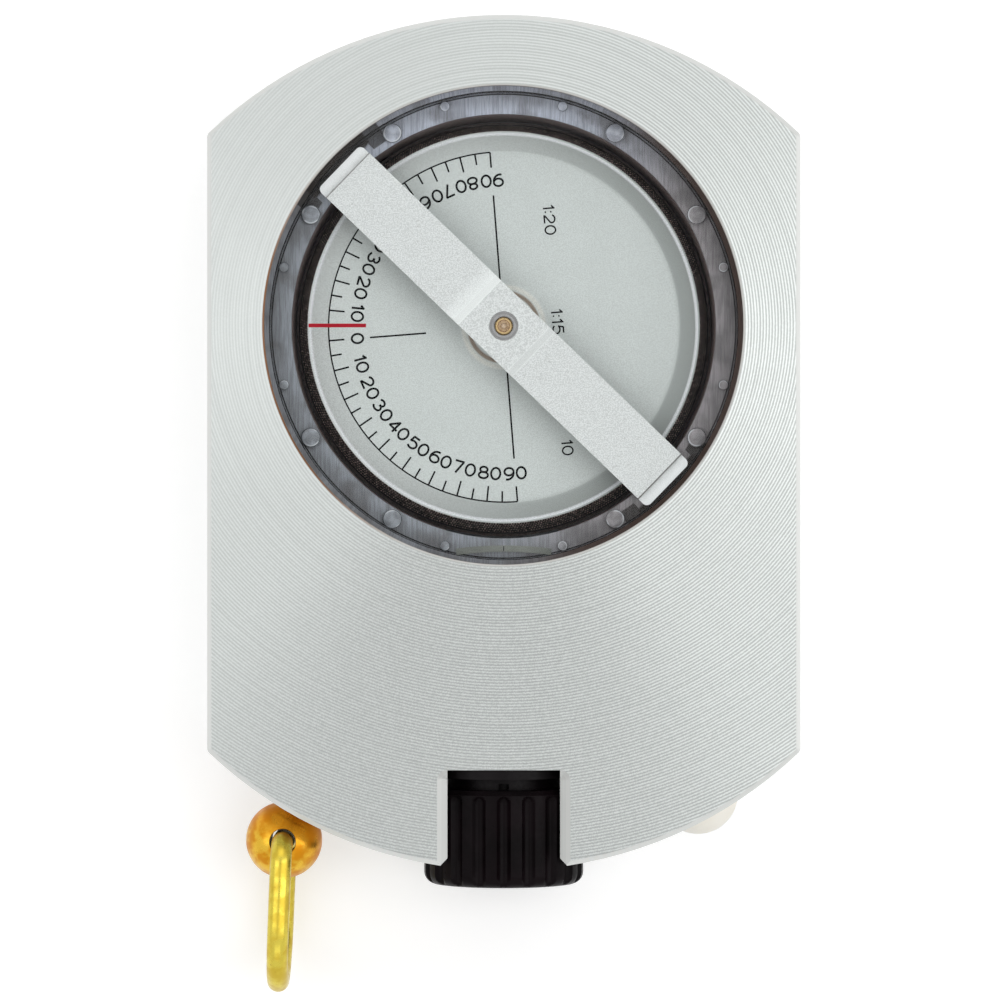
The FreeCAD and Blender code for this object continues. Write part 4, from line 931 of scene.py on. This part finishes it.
def new_tree(name, inputs):
    """An empty tree with named inputs; returns the tree and its inputs by name."""
    tree = bpy.data.node_groups.new(name, "GeometryNodeTree")
    for label, kind in inputs.items():
        tree.interface.new_socket(label, in_out="INPUT", socket_type="NodeSocket" + kind)
    tree.interface.new_socket("Geometry", in_out="OUTPUT", socket_type="NodeSocketGeometry")
    return tree, add_node(tree, "NodeGroupInput").outputs


def end_tree(tree, geometry, material):
    """Real geometry with its material, as the tree's result."""
    solid = add_node(tree, "GeometryNodeRealizeInstances", {"Geometry": geometry}).outputs[0]
    inputs = {"Geometry": solid, "Material": material}
    coated = add_node(tree, "GeometryNodeSetMaterial", inputs).outputs[0]
    tree.links.new(coated, add_node(tree, "NodeGroupOutput").inputs[0])


def point_round(tree, centre, angle, radius, height):
    """A place on a circle round an upright axis."""
    across = times(tree, calculate(tree, "COSINE", angle), radius)
    along = times(tree, calculate(tree, "SINE", angle), radius)
    return vector_math(tree, "ADD", combine(tree, X=across, Y=along, Z=height), centre)


AXIS_FOOT = (DIAL_CENTRE.x, DIAL_CENTRE.y, 0.0)
print("helpers for trees ready")

# %% [markdown]
# ### Round scales
#
# The first tree lays out points round an axis by their number, puts a thin bar on each, and makes every
# few bars longer. Rows and a lean are inputs too, so one tree makes the degree scale, which is flat, and
# the fine scale on the skirt, which leans on a cone.

# %% A tree for round scales
def round_scale_tree():
    inputs = {"Per row": "Int", "Rows": "Int", "Step": "Float", "First": "Float", "Radius": "Float"}
    inputs |= {"Height": "Float", "Row out": "Float", "Row down": "Float", "Long every": "Int"}
    inputs |= {"Long": "Float", "Short": "Float", "Width": "Float", "Thick": "Float", "Lean": "Float"}
    inputs |= {"Stagger": "Float"}
    tree, given = new_tree("round_scale", inputs | {"Centre": "Vector", "Ink": "Material"})
    index = add_node(tree, "GeometryNodeInputIndex").outputs[0]
    column = calculate(tree, "MODULO", index, given["Per row"])
    row = calculate(tree, "FLOOR", calculate(tree, "DIVIDE", index, given["Per row"]))
    angle = calculate(tree, "MULTIPLY_ADD", column, given["Step"], given["First"])
    angle = calculate(tree, "MULTIPLY_ADD", row, given["Stagger"], angle)
    radius = calculate(tree, "MULTIPLY_ADD", row, given["Row out"], given["Radius"])
    height = calculate(tree, "SUBTRACT", given["Height"], times(tree, row, given["Row down"]))
    place = point_round(tree, given["Centre"], angle, radius, height)
    count = times(tree, given["Per row"], given["Rows"])
    points = add_node(tree, "GeometryNodePoints", {"Count": count, "Position": place}).outputs[0]

    bar = add_node(tree, "GeometryNodeMeshCube", {"Size": (1, 1, 1)}).outputs["Mesh"]
    shifted = {"Geometry": bar, "Translation": (-0.5, 0, 0)}
    inward = add_node(tree, "GeometryNodeTransform", shifted).outputs[0]
    is_long = calculate(tree, "LESS_THAN", calculate(tree, "MODULO", column, given["Long every"]), 0.5)
    extra = calculate(tree, "SUBTRACT", given["Long"], given["Short"])
    length = calculate(tree, "MULTIPLY_ADD", is_long, extra, given["Short"])
    size = combine(tree, X=length, Y=given["Width"], Z=given["Thick"])
    turn = combine(tree, Y=given["Lean"], Z=angle)
    bars = {"Points": points, "Instance": inward, "Rotation": turn, "Scale": size}
    end_tree(tree, add_node(tree, "GeometryNodeInstanceOnPoints", bars).outputs[0], given["Ink"])
    return tree


ROUND_SCALE = round_scale_tree()
print("round scale tree:", len(ROUND_SCALE.nodes), "nodes")

# %% [markdown]
# The degree scale runs over the left half of the card, 90 degrees each way from its zero, with a tick
# every 5 degrees and a longer one every 10, all hanging inwards from one thin arc.

# %% Degree scale
SCALE_RADIUS = 15.52 * MM
ARC_WIDTH, LINE_WIDTH = 0.13 * MM, 0.15 * MM


def card_point(radius, angle):
    """A point on the card: angle in degrees from the zero mark, counted anticlockwise."""
    around = math.pi + CARD_TURN + math.radians(angle)
    return DIAL_CENTRE.xy + Vector((math.cos(around), math.sin(around))) * radius


degree_ticks = grow(
    ROUND_SCALE,
    "degree_ticks",
    Per_row=37,
    Rows=1,
    Step=math.radians(5),
    First=math.pi / 2 + CARD_TURN,
    Radius=SCALE_RADIUS,
    Height=(INK_LOW + INK_HIGH) / 2,
    Long_every=2,
    Long=1.36 * MM,
    Short=0.97 * MM,
    Width=LINE_WIDTH,
    Thick=INK_THICK,
    Centre=AXIS_FOOT,
    Ink=BLACK_INK,
)
finish_piece(degree_ticks, "dial_card")

lines = bmesh.new()
arc = [card_point(SCALE_RADIUS, angle) for angle in range(-90, 91)]
add_strip(lines, arc, ARC_WIDTH, INK_LOW, INK_HIGH)
for angle, outer, inner in ((0, 11.9, 6.9), (90, 11.7, 3.45), (-90, 11.7, 3.45)):
    ends = [card_point(outer * MM, angle), card_point(inner * MM, angle)]
    add_strip(lines, ends, LINE_WIDTH, INK_LOW, INK_HIGH)
finish_piece(object_from(lines, "dial_lines"), "dial_card", BLACK_INK)

# %% [markdown]
# The scale that the eyepiece magnifies is printed on the skirt: five rows of very fine pale marks, each
# row a little behind the one above it. The ink is worn in patches, so from above only a broken glitter
# of them shows.

# %% Fine scale on the skirt
SKIRT_TOP, SKIRT_FOOT = Vector((17.4, 8.55)) * MM, Vector((18.35, 4.1)) * MM
SKIRT_ROWS = 5
SKIRT_MARKS = 480
FIRST_ROW_SHARE, ROW_SHARE = 0.14, 0.18
ROW_LAG = 0.62
slope = SKIRT_FOOT - SKIRT_TOP
first_row = SKIRT_TOP + slope * FIRST_ROW_SHARE
skirt_marks = grow(
    ROUND_SCALE,
    "skirt_marks",
    Per_row=SKIRT_MARKS,
    Rows=SKIRT_ROWS,
    Step=FULL_TURN / SKIRT_MARKS,
    Stagger=FULL_TURN / SKIRT_MARKS * ROW_LAG,
    First=CARD_TURN,
    Radius=first_row.x,
    Height=first_row.y,
    Row_out=slope.x * ROW_SHARE,
    Row_down=-slope.y * ROW_SHARE,
    Long_every=3,
    Long=0.70 * MM,
    Short=0.44 * MM,
    Width=0.11 * MM,
    Thick=0.016 * MM,
    Lean=math.atan2(-slope.y, slope.x),
    Centre=AXIS_FOOT,
    Ink=PALE_INK,
)
finish_piece(skirt_marks, "dial_card")

# %% [markdown]
# ### Studs
#
# The cup was welded on through eight round studs, with a small ejector pip on either side of each pair.
# Each is a low dome in the capsule's grey with its painted light, with painted shade round its steep
# flank and a broken painted glint near its top. They stand in pairs, so the angle steps by the place in
# the pair and skips between the pairs.

# %% A tree for domes in pairs
def paired_domes_tree():
    inputs = {"Count": "Int", "First": "Float", "Step": "Float", "Skip": "Float", "Radius": "Float"}
    inputs |= {"Height": "Float", "Wide": "Float", "Tall": "Float", "Centre": "Vector"}
    tree, given = new_tree("paired_domes", inputs | {"Plastic": "Material"})
    index = add_node(tree, "GeometryNodeInputIndex").outputs[0]
    pair = calculate(tree, "FLOOR", calculate(tree, "DIVIDE", index, 2.0))
    angle = calculate(tree, "MULTIPLY_ADD", index, given["Step"], given["First"])
    angle = calculate(tree, "MULTIPLY_ADD", pair, given["Skip"], angle)
    place = point_round(tree, given["Centre"], angle, given["Radius"], given["Height"])
    points = add_node(tree, "GeometryNodePoints", {"Count": given["Count"], "Position": place}).outputs[0]
    ball = add_node(tree, "GeometryNodeMeshUVSphere", {"Segments": 32, "Rings": 16, "Radius": 1.0})
    size = combine(tree, X=given["Wide"], Y=given["Wide"], Z=given["Tall"])
    domes = {"Points": points, "Instance": ball.outputs["Mesh"], "Scale": size}
    placed = add_node(tree, "GeometryNodeInstanceOnPoints", domes).outputs[0]
    smooth = add_node(tree, "GeometryNodeSetShadeSmooth", {"Geometry": placed}).outputs[0]
    end_tree(tree, smooth, given["Plastic"])
    return tree


def stud_plastic():
    finish = Finish("stud_plastic", Specular_IOR_Level=0.6)
    cloud = finish.rescale(finish.grain(1300, 2.0), 0.3, 0.7)
    # The capsule's grey, with its painted light and shade.
    grey = capsule_grey(finish, finish.from_axis(DIAL_CENTRE))
    colour = finish.tint(cloud, finish.tint(0.5, grey, rgb(0.05, 0.05, 0.055)), grey)
    broken = finish.rescale(finish.grain(650, 1.0), 0.48, 0.56)
    # Painted glint near the dome's top.
    glint = finish.times(finish.band(finish.upright(), 0.9, 0.955, 0.02), 0.7, broken)
    colour = finish.tint(glint, colour, rgb(0.55, 0.57, 0.60))
    # Painted shade round the dome's steep flank.
    outline = finish.band(finish.upright(), 0.7, 0.88, 0.02)
    finish.set("Base Color", finish.tint(outline, colour, rgb(0.02, 0.02, 0.022)))
    finish.set("Roughness", finish.rescale(cloud, 0.0, 1.0, 0.12, 0.22))
    finish.relief(cloud, 0.01 * MM, 0.5)
    return finish.material


PAIRED_DOMES = paired_domes_tree()
STUD_PLASTIC = stud_plastic()
for name, first, step, skip, radius, wide, tall, rise in (
    ("welding_studs", 30, 30, 30, 19.64, 0.86, 0.17, 0.36),
    ("ejector_pips", 15, 60, -30, 20.05, 0.45, 0.10, 0.26),
):
    domes = grow(
        PAIRED_DOMES,
        name,
        Count=8,
        First=math.radians(first),
        Step=math.radians(step),
        Skip=math.radians(skip),
        Radius=radius * MM,
        Height=CUP_SHOULDER + rise * MM,
        Wide=wide * MM,
        Tall=tall * MM,
        Centre=AXIS_FOOT,
        Plastic=STUD_PLASTIC,
    )
    finish_piece(domes, "instrument")

# %% [markdown]
# ### The fluted knob
#
# The focus knob is a main piece whose shape follows a rule: half a section spun round the sight line,
# with flutes pressed in by a round-nosed cutter. So the tree takes the section as an outline, lays a
# grid over it, with one side round the axis and the other along the outline, and bends the grid into
# the solid. A point on the outer wall moves inwards where the cutter passes. The cutter's nose makes
# the rounded upper ends of the flutes, and at the eye end the flutes run out through the rounded edge.

# %% A tree for the knob
def fluted_knob_tree():
    inputs = {"Outline": "Geometry", "Round": "Int", "Stations": "Int", "Flutes": "Int"}
    inputs |= {"Cutter": "Float", "Cutter axis": "Float", "Nose": "Float", "Sight height": "Float"}
    tree, given = new_tree("fluted_knob", inputs | {"Plastic": "Material"})
    grid = {"Size X": 1.0, "Size Y": 1.0}
    grid["Vertices X"] = calculate(tree, "ADD", given["Round"], 1)
    grid["Vertices Y"] = calculate(tree, "ADD", given["Stations"], 1)
    sheet = add_node(tree, "GeometryNodeMeshGrid", grid).outputs["Mesh"]
    place = add_node(tree, "GeometryNodeInputPosition").outputs[0]
    flat = add_node(tree, "ShaderNodeSeparateXYZ", {"Vector": place}).outputs
    angle = calculate(tree, "MULTIPLY_ADD", flat["X"], FULL_TURN, math.pi)
    half = times(tree, given["Stations"], 0.5)
    station = calculate(tree, "ROUND", calculate(tree, "MULTIPLY_ADD", flat["Y"], given["Stations"], half))
    station = calculate(tree, "MODULO", station, given["Stations"])
    drawn = add_node(
        tree, "GeometryNodeSampleIndex",
        {"Geometry": given["Outline"], "Index": station},
        data_type="FLOAT_VECTOR",
    )
    tree.links.new(place, drawn.inputs["Value"])
    section = add_node(tree, "ShaderNodeSeparateXYZ", {"Vector": drawn.outputs[0]}).outputs
    radius, distance = section["X"], section["Y"]

    step = calculate(tree, "DIVIDE", FULL_TURN, given["Flutes"])
    half_step = calculate(tree, "DIVIDE", step, 2.0)
    turned = calculate(tree, "MODULO", calculate(tree, "ADD", angle, half_step), step)
    off = calculate(tree, "SUBTRACT", turned, half_step)
    aside = times(tree, calculate(tree, "SINE", off), given["Cutter axis"])
    before_nose = calculate(tree, "MAXIMUM", calculate(tree, "SUBTRACT", given["Nose"], distance), 0.0)
    room = calculate(tree, "POWER", given["Cutter"], 2.0)
    for reach in (aside, before_nose):
        room = calculate(tree, "SUBTRACT", room, calculate(tree, "POWER", reach, 2.0))
    depth = calculate(tree, "SQRT", calculate(tree, "MAXIMUM", room, 0.0))
    missed = calculate(tree, "LESS_THAN", room, 1e-12)
    floor_radius = times(tree, calculate(tree, "COSINE", off), given["Cutter axis"])
    floor_radius = calculate(tree, "SUBTRACT", floor_radius, depth)
    floor_radius = calculate(tree, "ADD", floor_radius, missed)
    final = calculate(tree, "MINIMUM", radius, floor_radius)

    across = times(tree, calculate(tree, "COSINE", angle), final)
    rise = calculate(tree, "MULTIPLY_ADD", calculate(tree, "SINE", angle), final, given["Sight height"])
    bent = combine(tree, X=across, Y=times(tree, distance, -1.0), Z=rise)
    solid = add_node(tree, "GeometryNodeSetPosition", {"Geometry": sheet, "Position": bent}).outputs[0]
    inputs = {"Geometry": solid, "Distance": 0.001 * MM}
    closed = add_node(tree, "GeometryNodeMergeByDistance", inputs).outputs[0]
    end_tree(tree, closed, given["Plastic"])
    return tree


FLUTED_KNOB = fluted_knob_tree()
print("fluted knob tree:", len(FLUTED_KNOB.nodes), "nodes")

# %% [markdown]
# The outline is the knob's half section, as radius and distance along the sight line: the threaded lip,
# the bevel at the inner end, the wall with a few extra points where the cutter's nose begins, the
# rounded outer edge, the eye opening, and the hollow that holds the lens cell.

# %% Knob
SIGHT_HEIGHT = 7.5
knob_low, knob_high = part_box("focus_knob")
KNOB_RADIUS = knob_high.x / MM
KNOB_START, KNOB_END = -knob_high.y / MM, -knob_low.y / MM
FLUTES = 20
CUTTER = 0.56
FLUTE_DEPTH = 0.5
COLLAR = 0.45
NOSE = KNOB_START + COLLAR + CUTTER
EDGE_ROUND = 1.1
BEVEL = 0.4
EYE_OPENING = 3.48
HOLLOW = 6.0
LIP = 5.05
LIP_END = KNOB_START + 2.4
EYE_WALL = 1.15
KNOB_BLACK = (rgb(0.002, 0.0012, 0.0015), rgb(0.006, 0.0035, 0.0045))


def quarter(centre, radius, start, steps):
    """Points of a quarter circle, centre as (radius, distance), without its first point."""
    turns = [math.radians(start + 90 * step / steps) for step in range(1, steps + 1)]
    return [(centre[0] + radius * math.cos(turn), centre[1] + radius * math.sin(turn)) for turn in turns]


def knob_outline():
    wall = [(KNOB_RADIUS, NOSE - CUTTER * math.cos(math.radians(15 * step))) for step in range(7)]
    edge = quarter((KNOB_RADIUS - EDGE_ROUND, KNOB_END - EDGE_ROUND), EDGE_ROUND, 0, 6)
    inside = KNOB_END - EYE_WALL
    outline = [(LIP, KNOB_START), (KNOB_RADIUS - BEVEL, KNOB_START), (KNOB_RADIUS, KNOB_START + BEVEL)]
    outline += wall + [(KNOB_RADIUS, KNOB_END - EDGE_ROUND)] + edge
    outline += [(EYE_OPENING + 0.5, KNOB_END), (EYE_OPENING, KNOB_END - 0.5), (EYE_OPENING, inside)]
    outline += [(HOLLOW, inside), (HOLLOW, LIP_END), (LIP, LIP_END)]
    return [(radius * MM, distance * MM) for radius, distance in outline]


knob_plastic = moulded("knob_plastic", *KNOB_BLACK, 0.26, 2600, Specular_IOR_Level=0.05)
outline = knob_outline()
knob = grow(
    FLUTED_KNOB,
    "fluted_knob",
    outline,
    Round=FLUTES * 18,
    Stations=len(outline),
    Flutes=FLUTES,
    Cutter=CUTTER * MM,
    Cutter_axis=(KNOB_RADIUS + CUTTER - FLUTE_DEPTH) * MM,
    Nose=NOSE * MM,
    Sight_height=SIGHT_HEIGHT * MM,
    Plastic=knob_plastic,
)
knob.data.shade_smooth()
knob.data.set_sharp_from_angle(angle=math.radians(38))
finish_piece(knob, "knob")
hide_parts("focus_knob")

# %% [markdown]
# ## Figures
#
# The figures have strokes of one even width and nearly round bowls. Blender's own typeface is too
# narrow for that, so each figure is drawn from a few lines and parts of ellipses in a box one unit
# tall. A nine is a six turned over. The strokes become strips like the rest of the print.

# %% Drawing figures
WIDE = 0.80
CAP = 0.06
FIGURE_GAP = 0.26
NARROW = {"1": 0.36, ":": 0.06, ".": 0.06}
LAYER_RISE = INK_THICK / 20


def bow(middle, reach, start, end, steps=22):
    """Part of an ellipse, angles in degrees; a full turn closes and leaves out its last point."""
    closed = abs(end - start) == 360
    turns = [math.radians(start + (end - start) * step / steps) for step in range(steps + (not closed))]
    points = [Vector((middle[0] + reach[0] * math.cos(t), middle[1] + reach[1] * math.sin(t))) for t in turns]
    return points, closed


def line(start, end):
    """A straight stroke with square ends that reach half a stroke beyond."""
    start, end = Vector(start), Vector(end)
    reach = (end - start).normalized() * CAP
    return [start - reach, end + reach], False


def bowl_and_stem():
    """A six, which is also a nine upside down."""
    return [bow((0.40, 0.325), (0.40, 0.325), 0, 360), bow((0.56, 0.38), (0.56, 0.62), 73, 176, 12)]


def strokes_of(figure):
    """The strokes of one figure: their points, and whether each closes."""
    half = WIDE / 2
    if figure == "9":
        corner = Vector((WIDE, 1))
        return [([corner - point for point in path], closed) for path, closed in bowl_and_stem()]
    if figure == "2":
        top, _ = bow((half, 0.70), (0.365, 0.30), 168, -32, 16)
        return [(top + [Vector((0.03, 0.03))], False), line((CAP, 0), (WIDE - CAP, 0))]
    return {
        "0": [bow((half, 0.5), (half, 0.5), 0, 360, 28)],
        "1": [line((0.30, 0), (0.30, 1)), line((0.29, 0.97), (0.08, 0.78))],
        "3": [
            bow((0.38, 0.755), (0.31, 0.245), 158, -90, 14),
            bow((0.38, 0.28), (0.385, 0.28), 90, -155, 18),
        ],
        "4": [
            line((0.58, 0.97), (0.03, 0.30)),
            line((0.03, 0.26), (WIDE, 0.26)),
            line((0.60, 0), (0.60, 1)),
        ],
        "5": [
            line((0.19, 1), (0.68, 1)),
            line((0.17, 0.97), (0.08, 0.56)),
            bow((0.38, 0.33), (0.40, 0.33), 138, -148),
        ],
        "6": bowl_and_stem(),
        "7": [line((CAP, 1), (WIDE - CAP, 1)), line((WIDE - 0.07, 0.95), (0.27, 0))],
        "8": [bow((half, 0.765), (0.32, 0.235), 0, 360), bow((half, 0.275), (half, 0.275), 0, 360)],
        ":": [line((0.03, 0.14), (0.03, 0.16)), line((0.03, 0.66), (0.03, 0.68))],
        ".": [line((0.03, 0.0), (0.03, 0.02))],
    }[figure]


def print_figures(page, text, middle, turn, height, stroke, low, high):
    """Adds a row of figures to a bmesh, centred on middle and turned about it.

    Where strokes cross, each lies a hair above the last, so that no two faces share a place.
    """
    tall = height - stroke
    widths = [NARROW.get(figure, WIDE) for figure in text]
    start = -(sum(widths) + FIGURE_GAP * (len(text) - 1)) / 2
    turning = Matrix.Rotation(turn, 2)
    for figure, wide in zip(text, widths):
        for layer, (path, closed) in enumerate(strokes_of(figure)):
            corner = Vector((start, -0.5))
            placed = [middle + turning @ ((point + corner) * tall) for point in path]
            add_strip(page, placed, stroke, low, high + layer * LAYER_RISE, closed)
        start += wide + FIGURE_GAP


print("figures drawn:", "0123456789:.")

# %% [markdown]
# On the dial, a figure stands inside each long tick, with its foot to the scale. To the right of the
# pivot, plain ratios name the measuring distances, and read downwards.

# %% Print on the dial
FIGURE_RADIUS = 13.0 * MM
FIGURE_TALL, FIGURE_STROKE = 1.20 * MM, 0.185 * MM
RATIO_COLUMN = 4.8
RATIO_TALL, RATIO_STROKE = 1.06 * MM, 0.14 * MM

dial_print = bmesh.new()
for angle in range(-90, 91, 10):
    turn = math.pi + CARD_TURN + math.radians(angle + 90)
    size = (FIGURE_TALL, FIGURE_STROKE, INK_LOW, INK_HIGH)
    print_figures(dial_print, str(abs(angle)), card_point(FIGURE_RADIUS, angle), turn, *size)
card_turning = Matrix.Rotation(CARD_TURN, 2)
downwards = CARD_TURN - math.pi / 2
for text, along in (("1:20", 9.17), ("1:15", 0.12), ("10", -11.07)):
    middle = DIAL_CENTRE.xy + card_turning @ (Vector((RATIO_COLUMN, along)) * MM)
    print_figures(dial_print, text, middle, downwards, RATIO_TALL, RATIO_STROKE, INK_LOW, INK_HIGH)
finish_piece(object_from(dial_print, "dial_figures"), "dial_card", BLACK_INK)

# %% [markdown]
# The back plate carries a table, as on many such instruments: for each angle of slope, its rise in
# percent and the share by which a distance along the slope shortens on the level. The numbers are
# worked out here, and the page is mirrored, because the back is read from below.

# %% Table on the back plate
PLATE_MIDDLE = Vector((0.0, 2.0)) * MM
ROW_PITCH = 4.0 * MM
COLUMNS = (-10.5 * MM, 0.0, 10.5 * MM)
RULES = (-16.0 * MM, -5.25 * MM, 5.25 * MM, 16.0 * MM)
RULE_WIDTH = 0.10 * MM
TABLE_TALL, TABLE_STROKE = 1.9 * MM, 0.2 * MM
BACK_INK_LOW, BACK_INK_HIGH = -0.006 * MM, 0.004 * MM

slope_table = bmesh.new()
rows = range(5, 51, 5)
top = PLATE_MIDDLE.y + ROW_PITCH * (len(rows) - 1) / 2
for row, angle in enumerate(rows):
    slant = math.radians(angle)
    cells = (str(angle), str(round(100 * math.tan(slant))), f"{math.cos(slant):.3f}")
    for column, text in zip(COLUMNS, cells):
        middle = Vector((column, top - ROW_PITCH * row))
        size = (TABLE_TALL, TABLE_STROKE, BACK_INK_LOW, BACK_INK_HIGH)
        print_figures(slope_table, text, middle, 0.0, *size)
levels = [top + ROW_PITCH * (0.5 - row) for row in range(len(rows) + 1)]
for level in levels:
    ends = [Vector((RULES[0], level)), Vector((RULES[-1], level))]
    add_strip(slope_table, ends, RULE_WIDTH, BACK_INK_LOW, BACK_INK_HIGH)
for across in RULES:
    ends = [Vector((across, levels[0])), Vector((across, levels[-1]))]
    add_strip(slope_table, ends, RULE_WIDTH, BACK_INK_LOW, BACK_INK_HIGH + LAYER_RISE)
bmesh.ops.scale(slope_table, vec=(-1, 1, 1), verts=slope_table.verts)
finish_piece(object_from(slope_table, "slope_table"), "instrument", BLACK_INK)
